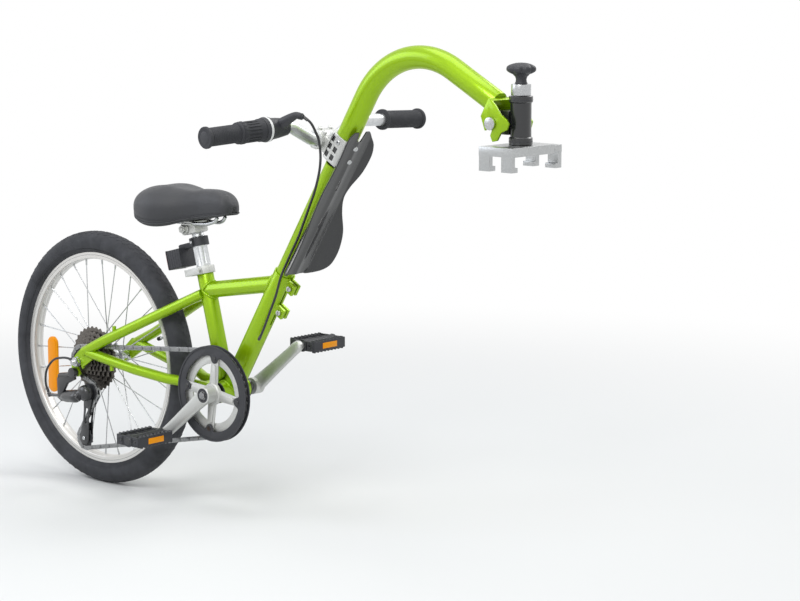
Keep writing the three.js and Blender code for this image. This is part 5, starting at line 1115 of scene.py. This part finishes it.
def make_lamp():
    # Ribbed black housing on an arm from its band, with the red lens facing back
    band = lathe([(14.1, 274), (17.4, 274), (18, 274.6), (18, 290.4), (17.4, 291), (14.1, 291)], 64,
                 closed=True)
    ear = box(-3.4, 3.4, -22, -17, 275.5, 289.5, 1.0)
    arm = box(-50, -14, -8, 8, 274.5, 284.5, 2.4)
    stalk = box(-51.4, -37, -7.4, 7.4, 272, 284, 2.0)
    body = box(-72.6, -36.6, -21.6, 21.6, 241.4, 277.8, 3.2)
    ribs = [box(-70 + i * 6.2, -67.4 + i * 6.2, -22.0, 22.0, 242, 277, 0.7) for i in range(5)]
    rim = box(-74.6, -72, -22, 22, 241, 278, 1.2)
    piece("lamp_housing", joined(band, ear, arm, stalk, body, *ribs, rim), SEAT, "seat",
          NYLON, ["rear_reflector"], 34)
    lens = box(-78, -74.6, -19.4, 19.4, 243.6, 275.4, 1.6)
    piece("lamp_lens", lens, SEAT, "seat", RED)
    screw = rod((0, -22.4, 282.5), (0, -21.2, 282.5), 2.6, steps=24, edge=0.4)
    piece("lamp_screw", screw, SEAT, "seat", ZINC)


# Saddle: stations from the tail to the nose, as shares of its length, half width and height
SADDLE = axes(on_seat(312), Z, X)
SADDLE_LENGTH, SADDLE_BACK, SADDLE_HALF, SADDLE_HIGH = 236.0, 132.0, 73.0, 76.0
STATIONS = (
    # along, half width, crown, widest line, skirt edge
    (0.00, 0.62, 0.66, 0.50, 0.40), (0.08, 0.82, 0.83, 0.45, 0.20), (0.18, 0.95, 0.95, 0.41, 0.06),
    (0.32, 1.00, 1.00, 0.38, 0.00), (0.45, 0.86, 0.965, 0.38, 0.03),
    (0.58, 0.58, 0.93, 0.43, 0.14), (0.70, 0.43, 0.95, 0.49, 0.22),
    (0.82, 0.375, 0.955, 0.53, 0.28), (0.92, 0.335, 0.89, 0.54, 0.33),
    (1.00, 0.27, 0.70, 0.50, 0.38),
)


def saddle_point(along, around):
    """A point of the cover: around runs from the crown (0) down a side to the skirt's edge (1)."""
    wide, crown, mid, edge = cubic(STATIONS, along)
    # The ends close in a rounded way, tail rounder than nose.
    tail = sqrt(max(0.0, 1 - max(0.0, 1 - along / 0.16) ** 2.4))
    nose = sqrt(max(0.0, 1 - max(0.0, 1 - (1 - along) / 0.075) ** 2.6))
    close = min(tail, nose)
    angle = around * pi / 2 * 1.42
    if angle <= pi / 2:
        y = wide * sin(angle) ** 0.78
        z = mid + (crown - mid) * cos(angle) ** 0.86
        # A shallow channel runs along the middle of the broad part.
        z -= 0.03 * max(0.0, 1 - (along - 0.36) ** 2 / 0.09) * max(0.0, 1 - (y / 0.30) ** 2)
    else:
        down = (angle - pi / 2) / (pi / 2 * 0.42)
        y = wide * (1 - 0.1 * down ** 2.2)
        z = mid + (edge - mid) * down
    z = mid + (z - mid) * (0.25 + 0.75 * close)
    return Vector((-SADDLE_BACK + along * SADDLE_LENGTH, SADDLE_HALF * y * close, SADDLE_HIGH * z))


def make_saddle():
    mesh = bmesh.new()
    rows, count = 73, 25
    skin_rows, under = [], []
    for i in range(rows):
        along = 0.004 + 0.992 * (0.5 - 0.5 * cos(i / (rows - 1) * pi)) ** 0.92
        half = [saddle_point(along, j / (count - 1)) for j in range(count)]
        right, left = ([Vector((p.x, side * p.y, p.z)) for p in half] for side in SIDES)
        row = [mesh.verts.new(p) for p in (*reversed(right), *left[1:])]
        # The underside tucks in below the skirt.
        right, left = right[-1], left[-1]
        mid = (right + left) / 2
        inward = [mesh.verts.new(edge.lerp(mid, share) + Z * rise) for edge, share, rise in (
            (right, 0.12, 1.5), (right, 0.22, 14), (left, 0.22, 14), (left, 0.12, 1.5))]
        skin_rows.append(row)
        under.append([row[0], *inward, row[-1]])
    for sheet, flip in ((skin_rows, False), (under, True)):
        for low, high in zip(sheet, sheet[1:]):
            for j in range(len(low) - 1):
                face = (low[j], low[j + 1], high[j + 1], high[j])
                mesh.faces.new(face[::-1] if flip else face)
    # Tail and nose close.
    mesh.faces.new((skin_rows[0] + under[0][1:-1][::-1])[::-1])
    mesh.faces.new(skin_rows[-1] + under[-1][1:-1][::-1])
    cover = piece("saddle_cover", mesh, SADDLE, "seat", VINYL, ["saddle"], 70)
    soften = cover.modifiers.new("soft", "SUBSURF")
    soften.levels = soften.render_levels = 1
    smooth, coarse = evaluated(cover), cover.data
    cover.modifiers.clear()
    cover.data = smooth
    bpy.data.meshes.remove(coarse)
    # Piping sewn round the skirt, and a stitched line above it
    right = [saddle_point(0.02 + 0.96 * i / 80, 0.93) for i in range(81)]
    points = [Vector((p.x, -p.y - 0.3, p.z)) for p in right]
    points += [Vector((p.x, p.y + 0.3, p.z)) for p in reversed(right)]
    piece("saddle_piping", sweep(points, circle(1.3, 10), up=Z, closed=True), SADDLE, "seat",
          VINYL, (), 60)
    stitches = []
    for side in SIDES:
        for i in range(70):
            along = 0.05 + 0.9 * i / 70
            a, b = (saddle_point(along + off, 0.86) for off in (0.0, 0.008))
            a, b = (Vector((p.x, side * (p.y + 0.2), p.z)) for p in (a, b))
            stitches.append(rod(a, b, 0.45, steps=6))
    piece("saddle_stitching", joined(*stitches), SADDLE, "seat", NYLON)


def make_rails():
    # The solids' route, drawn as a smooth curve through the same points
    route = [(-81.8, 26.4, 15.7), (-66, 24.2, 11.5), (-39.6, 22, 8), (0, 22, 8),
             (39.6, 16.5, 8.3), (55.4, 13.2, 11.5), (63.4, 11, 15.7), (68, 10.2, 22)]
    bars = [sweep(smooth_line([Vector((x, side * y, z)) for x, y, z in route], 48),
                  circle(3.5, 20), up=Z) for side in SIDES]
    tilt = Matrix.Rotation(-SEAT_ANGLE, 4, "Y")
    parts = [moved(box(-25, 14, -17, 17, -13, 9.5, 3.6), tilt),
             box(-13.6, 13.6, -26.5, 26.5, 8.6, 11.8, 1.2),
             box(-13.6, 13.6, -26.5, 26.5, 4.2, 7.6, 1.2)]
    for side in SIDES:
        # Nut, washer and stud, as (start, end, radius, steps, edge)
        for start, end, radius, steps, edge in (
                (20.4, 26.8, 8.0, 6, 0), (17, 20.6, 9.6, 32, 0.8), (26.6, 29, 3.9, 20, 0.7)):
            bar = rod((-13, side * start, -2), (-13, side * end, -2), radius, None, steps, edge)
            parts.append(moved(bar, tilt))
        teeth = ringed(box(8.6, 9.9, -0.8, 0.8, -1.4, 1.4, 0.2), 16)
        teeth.transform(tilt @ Matrix.Translation((-13, side * 18.6, -2))
                        @ Matrix.Rotation(radians(90), 4, "X"))
        parts.append(teeth)
    piece("saddle_rail_pair", joined(*bars), SADDLE, "seat", ZINC,
          ["saddle_rails"], 50)
    piece("saddle_clamp", joined(*parts), SADDLE, "seat", FORGED, (), 32)
    shell = refined("saddle_shell", "seat", NYLON, 0.0, 40)
    # The shell's underside rises towards the nose with the skirt.
    into = SADDLE.inverted()
    for vertex in shell.data.vertices:
        at = into @ vertex.co
        along = (at.x + SADDLE_BACK) / SADDLE_LENGTH
        if along > 0.5:
            skirt = cubic(STATIONS, min(1.0, along))[3]
            at.z = max(at.z, SADDLE_HIGH * skirt + 1.5)
            vertex.co = SADDLE @ at


make_seatpost()
make_lamp()
make_saddle()
make_rails()
refined("seat_collar", "frame", FORGED, 0.5, 34)
refined("seat_lever", "quick_lever", FORGED, 0.6, 34)


# Mast, coupler, drawbar and shield
def make_drawbar():
    start, bend, swing = on_mast(578.3), 150, radians(87.1)
    hub = start + MAST_WAY * 85 + MAST_FRONT * bend
    points = [start, start + MAST_WAY * 2, start + MAST_WAY * 45]
    for i in range(61):
        a = MAST_ANGLE - swing * i / 60
        points.append(hub + Vector((-sin(a), 0, cos(a))) * bend)
    a = MAST_ANGLE - swing
    way, corner = Vector((cos(a), 0, sin(a))), points[-1]
    points += [corner + way * 54.5, corner + way * 108.2, corner + way * 109]
    scales = [(0.985, 0.985), *[(1, 1)] * (len(points) - 2), (0.985, 0.985)]
    tube = sweep(points, circle(STOUT, 64), up=Y, scales=scales)
    piece("drawbar_tube", tube, WORLD, "frame", LIME, ["drawbar"], 50)
    # A black ring and plug in the slot where the bar plugs into the coupler: painted shade for the
    # dark of the opening
    collar = rod(on_mast(577.6), on_mast(578.6), 19.4, steps=64)
    plug = rod(on_mast(534), on_mast(578), 16.2, steps=48)
    piece("drawbar_plug", joined(collar, plug), WORLD, "frame", ENAMEL)


def make_coupler():
    refined("coupler", "frame", FORGED, 0.9, 34, 3)
    # Thin black panes on the coupler's sides stand for the dark inside its pockets, and a black
    # hexagon on each screw head for its socket: painted shade.
    pocket_shade_panes, screws = [], []
    for side in SIDES:
        for column, rows in ((-13, 3), (1, 2)):
            for row in range(rows):
                z = 529 + row * 16
                pocket_shade_panes.append(box(column - 4.1, column + 4.1, *sorted((side * 18.0, side * 18.5)),
                                 z + 0.2, z + 10.8, 0.1))
        screws.append(rod((1, side * 19.6, 567), (1, side * 22.4, 567), 4.4, edge=0.7))
        pocket_shade_panes.append(rod((1, side * 22.0, 567), (1, side * 22.5, 567), 2.0, steps=6))
    piece("coupler_windows", joined(*pocket_shade_panes), MAST, "frame", ENAMEL)
    piece("coupler_screws", joined(*screws), MAST, "frame", ZINC)


def make_shield():
    start, run, thick, wing, fold = 290.0, 314.0, 2.4, 37.0, radians(45)
    low_stand, high_stand, notch_deep, half_wide = 19.6, 24.2, 20.0, 30.0
    slot_half, slots, crease, bend = 1.75, ((107, 129), (189, 211)), 1.4, 6.0
    # How far the wings stand out, as (share of the height, share of the wing)
    shares = [(0, 0.1), (0.01, 0.25), (0.05, 0.66), (0.1, 0.92), (0.17, 1), (0.25, 0.95),
              (0.34, 0.76), (0.45, 0.32), (0.54, 0.09), (0.62, 0.14), (0.73, 0.36), (0.85, 0.41),
              (0.92, 0.28), (0.965, 0.06), (1, 0.02)]

    def strip_half(up):
        # The strip's corners round off below and, longer, above.
        foot = max(0.0, 1 - up / 7.5)
        head = max(0.0, (up - run + 30) / 30)
        return half_wide * (1 - 0.3 * foot ** 2 - 0.4 * head ** 3)

    def across(length, flat):
        """Place and normal at a length from the middle: flat, a short bend, a straight wing."""
        past = length - flat
        if past <= 0:
            # A soft crease stands along the middle.
            return crease * max(0.0, 1 - length / 10), length, 1.0, 0.0
        turn = min(1.0, past / bend) * fold
        curve = bend / fold
        x, y = curve * (1 - cos(turn)), flat + curve * sin(turn)
        if past > bend:
            x += (past - bend) * sin(fold)
            y += (past - bend) * cos(fold)
        return x, y, cos(turn), -sin(turn)

    heights = [0, 0.8, 2, 3.6, 5.4, 7.6]
    for stop in (*slots[0], *slots[1], run - notch_deep):
        begin, parts = heights[-1], ceil((stop - heights[-1]) / 5.5)
        heights += [begin + (stop - begin) * i / parts for i in range(1, parts + 1)]
    notch_row = len(heights) - 1
    heights += [run - notch_deep + notch_deep * sin(i / 9 * pi / 2) for i in range(1, 10)]
    rows, columns = len(heights), 19
    # Each gap between two rows is open along the middle where a slot or the notch runs.
    opened = [i >= notch_row
              or any(low <= heights[i] and heights[i + 1] <= high for low, high in slots)
              for i in range(rows - 1)]
    mesh = bmesh.new()
    fronts, backs = [], []
    for i, up in enumerate(heights):
        half = strip_half(up)
        total = half + wing * max(0.02, cubic(shares, up / run)[0])
        inner = slot_half
        if i >= notch_row:
            inner = 4.5 + 4.5 * (up - run + notch_deep) / notch_deep
        stand = low_stand + (high_stand - low_stand) * up / run
        front, back = [], []
        flat = half - 3
        knee = flat + min(bend, 0.7 * (total - flat))
        lengths = [inner + (flat - inner) * j / 8 for j in range(8)]
        lengths += [flat + (knee - flat) * j / 4 for j in range(4)]
        lengths += [knee + (total - knee) * j / 6 for j in range(7)]
        for side, row in ((-1, lengths[::-1]), (1, lengths)):
            if side == 1:
                clear = all(opened[max(0, i - 1):i + 1])
                for sheet, x in ((back, stand + crease), (front, stand + crease + thick)):
                    sheet.append(None if clear else mesh.verts.new((x, 0, start + up)))
            for length in row:
                x, y, nx, ny = across(length, flat)
                back.append(mesh.verts.new((stand + x, side * y, start + up)))
                front.append(mesh.verts.new(
                    (stand + x + nx * thick, side * (y + ny * thick), start + up)))
        fronts.append(front)
        backs.append(back)
    size, middle = 2 * columns + 1, (columns - 1, columns)

    def wall(i, j, k, m, flip):
        face = (fronts[i][j], fronts[k][m], backs[k][m], backs[i][j])
        mesh.faces.new(face[::-1] if flip else face)

    for i in range(rows - 1):
        for j in range(size - 1):
            if opened[i] and j in middle:
                continue
            for sheet, flip in ((fronts, False), (backs, True)):
                face = (sheet[i][j], sheet[i][j + 1], sheet[i + 1][j + 1], sheet[i + 1][j])
                mesh.faces.new(face[::-1] if flip else face)
        wall(i, 0, i + 1, 0, False)
        wall(i, size - 1, i + 1, size - 1, True)
        if opened[i]:
            wall(i, columns - 1, i + 1, columns - 1, True)
            wall(i, columns + 1, i + 1, columns + 1, False)
        if i and opened[i] != opened[i - 1]:
            for j in middle:
                wall(i, j, i, j + 1, not opened[i])
    for j in range(size - 1):
        wall(0, j, 0, j + 1, True)
        if j not in middle:
            wall(rows - 1, j, rows - 1, j + 1, False)
    piece("mud_shield_moulding", mesh, MAST, "frame", GLOSS,
          ["mud_shield"], 50)
    bolts = []
    for s in (569, 541):
        x = low_stand + (high_stand - low_stand) * (s - start) / run + thick + 1.0
        bolts += [rod((x - 0.8, 0, s), (x + 2.2, 0, s), 5.2, 4.0, edge=0.5),
                  rod((x + 1.7, 0, s), (x + 2.4, 0, s), 2.2, steps=6)]
    piece("shield_bolts", joined(*bolts), MAST, "frame", ZINC)


make_drawbar()
make_coupler()
make_shield()
for node in ("pinch_bolt_upper", "pinch_bolt_lower"):
    refined(node, "frame", ZINC, 0.5, 34)


# Handlebar, grips and shifter
CLAMP = on_mast(540.9, -46.7)


def bar_point(side, y, x, z):
    """A point of the handlebar, out to a side, ahead of and above its clamp."""
    return Vector((CLAMP.x + x, side * y, CLAMP.z + z))


def bar_tip(side):
    return bar_point(side, 270, -17, 18)


def bar_shoulder(side):
    return bar_point(side, 85, 0, 27)


def rounded(points, radius):
    """A path with its corners turned into arcs, a point about every four degrees."""
    step = radians(4)
    route = [points[0]]
    for before, corner, after in zip(points, points[1:], points[2:]):
        into, out = (corner - before).normalized(), (after - corner).normalized()
        turn = into.angle(out)
        room = 0.45 * min((corner - before).length, (after - corner).length)
        reach = min(radius * tan(turn / 2), room)
        used = reach / tan(turn / 2)
        inward = (out - into * into.dot(out)).normalized()
        centre = corner - into * reach + inward * used
        count = max(2, ceil(turn / step))
        for k in range(count + 1):
            a = k / count * turn
            route.append(centre - inward * used * cos(a) + into * used * sin(a))
    return route + [points[-1]]


def make_bar():
    route = rounded([bar_tip(-1), bar_shoulder(-1), bar_point(-1, 30, 0, 0), bar_point(1, 30, 0, 0),
                     bar_shoulder(1), bar_tip(1)], 30)
    piece("handlebar_tube", sweep(route, circle(11.1, 48), up=X), WORLD, "frame",
          ALLOY, ["handlebar"], 50)
    refined("stem", "frame", FORGED, 1.2, 34, 3)


def grip_profile(start, end):
    """A closed-end grip: ribbed body and a flange at its inner end, a rounded cap outside."""
    points = [(0, start + 0.2), (11.3, start), (18.6, start), (19, start + 0.5), (19, start + 3.4),
              (18.4, start + 4)]
    s = start + 5
    while s < end - 9:
        points += [(15.7, s), (16.2, s + 0.5), (16.2, s + 2.3), (15.7, s + 2.8)]
        s += 3.6
    return points + [(15.4, end - 7), (18.2, end - 6.2), (19, end - 5), (19, end - 1.6),
                     (17.6, end), (0, end)]


def make_grips():
    for side, name, start in ((1, "grip_left", 77), (-1, "grip_right", 115)):
        home = axes(bar_shoulder(side), bar_tip(side) - bar_shoulder(side))
        mesh = lathe(grip_profile(start, 190), 72)
        piece(f"{name}_sleeve", mesh, home, "frame", GRIP, [name], 34)
        plug = lathe([(0, 189.6), (10.5, 189.6), (11, 190.1), (9.8, 190.6), (0, 190.6)], 48)
        piece(f"{name}_plug", plug, home, "frame", NYLON)


def make_shifter():
    home = axes(bar_shoulder(-1), bar_tip(-1) - bar_shoulder(-1))
    barrel = lathe([(11.6, 66), (20, 66), (20, 71.5), (18.6, 74.5), (17.8, 80), (17.6, 100),
                    (18.4, 105), (19.2, 108), (19.2, 113), (18.6, 114.5), (11.6, 114.5)], 72,
                   closed=True)
    ribs = ringed(box(17.2, 18.9, -1.3, 1.3, 76, 106, 0.6), 20)
    nubs = ringed(box(18.7, 19.9, -1.6, 1.6, 107.5, 113, 0.6), 16)
    piece("shifter_barrel", joined(barrel, ribs, nubs), home, "twist_grip", GRIP,
          ["shifter_grip"], 34)
    body = lathe([(11.3, 9), (13.5, 9), (15, 10.5), (16.4, 20), (18, 32), (19, 44), (21.6, 51),
                  (22, 52), (22, 53.4), (11.3, 53.4)], 72, closed=True)
    flange = lathe([(11.3, 58.4), (22, 58.4), (22, 59), (20.4, 65.4), (11.3, 65.4)], 72,
                   closed=True)
    piece("shifter_body", joined(body, flange), home, "frame", NYLON,
          ["shifter_housing"], 34)
    ring = lathe([(11.4, 53.4), (21.8, 53.4), (22.2, 53.9), (22.2, 57.9), (21.8, 58.4),
                  (11.4, 58.4)], 96, closed=True)
    piece("shifter_ring", ring, home, "frame", WHITE)
    mark = box(20.2, 22.1, -0.7, 0.7, 53.0, 58.6, 0.2)
    piece("shifter_ticks", ringed(mark, 7, radians(16), radians(60)), home, "frame",
          ENAMEL)
    # The cable's boss bends out of the body and ends in a ribbed adjuster.
    start, tip = bar_shoulder(-1).lerp(bar_tip(-1), 0.16), SHIFT[0]
    elbow = Vector((640, -109, 766))
    bend = smooth_line([start, Vector((622, -112, 757)), elbow, tip + Vector((-3, -0.8, 0.4))], 30)
    tapers = [(0.95 + 1.5 * (1 - i / 30) ** 1.7,) * 2 for i in range(31)]
    way = (tip - elbow).normalized()
    parts = [sweep(bend, circle(5.4, 24), up=Z, scales=tapers),
             rod(tip - way * 11, tip, 5.4, 4.2, edge=0.6)]
    parts += [rod(tip - way * (10 - i * 2), tip - way * (8.8 - i * 2), 5.8, edge=0.2)
              for i in range(4)]
    piece("shifter_boss", joined(*parts), WORLD, "frame", NYLON, (), 34)


# Cables: the solids' routes, drawn as smooth curves
SHIFT = [Vector(p) for p in (
    (655, -105, 764), (666, -100, 755), (671, -94, 741), (672, -86, 724), (667, -77, 705),
    (657, -66, 687), (643, -54, 667), (628, -44, 646), (612, -36, 622), (596, -31.5, 597),
    (580, -29.6, 567), (565, -29, 538.3), (542.5, -29, 501.2), (521.5, -28.5, 464.8),
    (506, -27, 427), (487, -25, 392), (468, -22.8, 358), (455, -20.5, 340))]


def make_cable(name, node, points):
    """The housing as a tube on its route."""
    line = smooth_line(points, 140)
    tube = sweep(line, circle(2.25, 16), up=Vector((0.1, 1, 0.2)))
    made = piece(name, tube, WORLD, "frame", HOUSING, [node], 60)


make_bar()
make_grips()
make_shifter()
make_cable("shift_cable_housing", "shift_cable", SHIFT)
LOOP = [Vector(p) for p in (
    (-16.4, -63.8, 250), (-30, -66, 253), (-46, -67, 252), (-66, -68, 247), (-84, -66, 235),
    (-96, -65, 220), (-101, -64, 202), (-100, -63, 188), (-94, -62.5, 176))]
make_cable("derailleur_cable_housing", "derailleur_cable", LOOP)


def make_ferrules():
    """A short black cap on each end of both housings."""
    ends = []
    for points in (SHIFT, LOOP):
        for a, b in ((points[0], points[1]), (points[-1], points[-2])):
            way = (b - a).normalized()
            ends.append(rod(a + way * 0.5, a + way * 9, 2.9, steps=24, edge=0.4))
    piece("cable_ferrules", joined(*ends), WORLD, "frame", ENAMEL)


make_ferrules()


# Hitch
def make_head_tube():
    cup = lathe([(11.3, 15.6), (19.2, 15.6), (19.8, 16.2), (19.8, 26.6), (18.8, 28), (17.6, 28.6),
                 (17.5, 40), (17.5, 82), (17.6, 84.4), (18.8, 85), (19.8, 86.2), (19.8, 95.1),
                 (19.2, 95.7), (11.3, 95.7)], 96, closed=True)
    barrel = rod((-37, -27.8, 50), (-37, 27.8, 50), 12, steps=64, edge=0.8)
    web = box(-37, -14, -14.6, 14.6, 31, 71, 2.4)
    piece("head_tube_forging", joined(cup, barrel, web), HITCH, "hitch_head",
          ENAMEL, ["head_tube"], 34)
    grooves = [lathe([(19.7, z), (20.0, z + 0.4), (20.0, z + 1.0), (19.7, z + 1.4)], 96,
                     closed=True) for z in (20.5, 88.8)]
    piece("head_tube_seals", joined(*grooves), HITCH, "hitch_head", NYLON)


def make_knob():
    neck = lathe([(0, 115.4), (10.2, 115.4), (10.6, 116), (9.2, 119), (8.8, 123), (10, 127),
                  (14, 131), (17, 133.4), (0, 133.4)], 64)
    profile = [(13, 131, 0.1), (18, 132.6, 0.5), (22.6, 135, 0.9), (24.6, 137.4, 1), (25, 140.6, 1),
               (23.9, 143.4, 1), (20.8, 145.8, 0.8), (16, 147.8, 0.4), (9.6, 149.4, 0.1),
               (4, 150, 0)]
    # Eight scallops for the fingers
    grip = fluted(profile, lambda a: 3.2 * (0.5 + 0.5 * cos(8 * a)) ** 3, 144)
    piece("knob_moulding", joined(neck, grip), HITCH, "hitch_knob", NYLON,
          ["knob"], 40)


make_head_tube()
make_knob()
refined("hitch_base", "hitch_clamp", CAST, 1.1, 34, 3)
refined("clamp_jaw", "sliding_jaw", CAST, 0.9, 34, 3)
refined("hitch_post", "hitch_clamp", ZINC, 0.6, 40)
refined("pivot_bolt", "frame", ZINC, 0.7, 40)


# Studio: a pale floor that fades to white, soft lamps and a background that is white to the camera
def seen_directly(tree):
    """1 for the camera and for what metal and clear plastic mirror, 0 for light on the object."""
    ray = add(tree, "ShaderNodeLightPath").outputs
    total = ray["Is Camera Ray"]
    for name in ("Is Glossy Ray", "Is Transmission Ray"):
        both = add(tree, "ShaderNodeMath", {0: total, 1: ray[name]}, operation="MAXIMUM")
        total = both.outputs[0]
    return total


def surface(tree, kind, share, near, far):
    """An emptied tree's output: near mixed with far by a share."""
    mix = add(tree, "ShaderNodeMixShader", {
        "Fac": share, 1: near.outputs[0], 2: far.outputs[0]})
    add(tree, kind, {"Surface": mix.outputs[0]})


def make_floor():
    steps, rings, wide = 96, 40, 9.0
    centre = spot((420, 0, 0))
    mesh = bmesh.new()
    hub = mesh.verts.new(centre)
    rows = []
    for j in range(1, rings + 1):
        r = wide * (j / rings) ** 1.6
        rows.append([mesh.verts.new((centre.x + r * cos(a), centre.y + r * sin(a), centre.z))
                     for a in turns(steps)])
    for i in range(steps):
        k = (i + 1) % steps
        mesh.faces.new((hub, rows[0][i], rows[0][k]))
        for low, high in zip(rows, rows[1:]):
            mesh.faces.new((low[i], high[i], high[k], low[k]))
    floor = holder_of(mesh, "studio_floor")
    # Matt painted board, lighter with distance until it is as white as the background
    material = bpy.data.materials.new("painted_board")
    material.use_nodes = True
    tree = material.node_tree
    tree.nodes.clear()
    board = add(tree, "ShaderNodeBsdfPrincipled", {
        "Base Color": paint("#e6e6e4"), "Roughness": 0.8, "Specular IOR Level": 0.2})
    white = add(tree, "ShaderNodeEmission", {"Color": (1, 1, 1, 1), "Strength": 1.0})
    shift = add(tree, "ShaderNodeMapping", {"Vector": object_place(tree), "Location": -centre})
    away = add(tree, "ShaderNodeVectorMath", {0: shift.outputs[0]}, operation="LENGTH")
    fade = add(tree, "ShaderNodeMapRange", {
        "Value": away.outputs["Value"], "From Min": 0.95, "From Max": 2.6},
        interpolation_type="SMOOTHSTEP")
    shown = add(tree, "ShaderNodeMath", {
        0: fade.outputs[0], 1: seen_directly(tree)}, operation="MULTIPLY")
    surface(tree, "ShaderNodeOutputMaterial", shown.outputs[0], board, white)
    floor.data.materials.append(material)


def make_lamp_panel(name, place, aim, wide, tall, watts, colour="#ffffff"):
    data = bpy.data.lights.new(name, "AREA")
    data.shape = "RECTANGLE"
    data.size, data.size_y, data.energy = wide, tall, watts
    data.color = paint(colour)[:3]
    lamp = linked(name, data)
    lamp.location = Vector(place)
    lamp.rotation_euler = (Vector(aim) - Vector(place)).to_track_quat("-Z", "Y").to_euler()


def make_world():
    scene = bpy.context.scene
    world = bpy.data.worlds.new("studio")
    scene.world = world
    world.use_nodes = True
    tree = world.node_tree
    tree.nodes.clear()
    soft, white = (add(tree, "ShaderNodeBackground", {"Color": colour, "Strength": strength})
                   for colour, strength in ((paint("#dfe4ea"), 0.55), ((1, 1, 1, 1), 1.0)))
    surface(tree, "ShaderNodeOutputWorld", seen_directly(tree), soft, white)
    scene.view_settings.view_transform = "Standard"


make_floor()
MIDDLE = (-0.55, 0, -0.3)
make_lamp_panel("key_panel", (0.6, -3.0, 2.4), MIDDLE, 2.2, 1.6, 80)
make_lamp_panel("fill_panel", (-2.9, -1.9, 1.2), MIDDLE, 2.0, 2.0, 30, "#eef4ff")
make_lamp_panel("back_panel", (0.3, 2.8, 2.3), MIDDLE, 2.2, 1.4, 46)
make_lamp_panel("top_panel", (-0.6, 0.1, 2.7), MIDDLE, 2.4, 2.0, 34)
make_world()
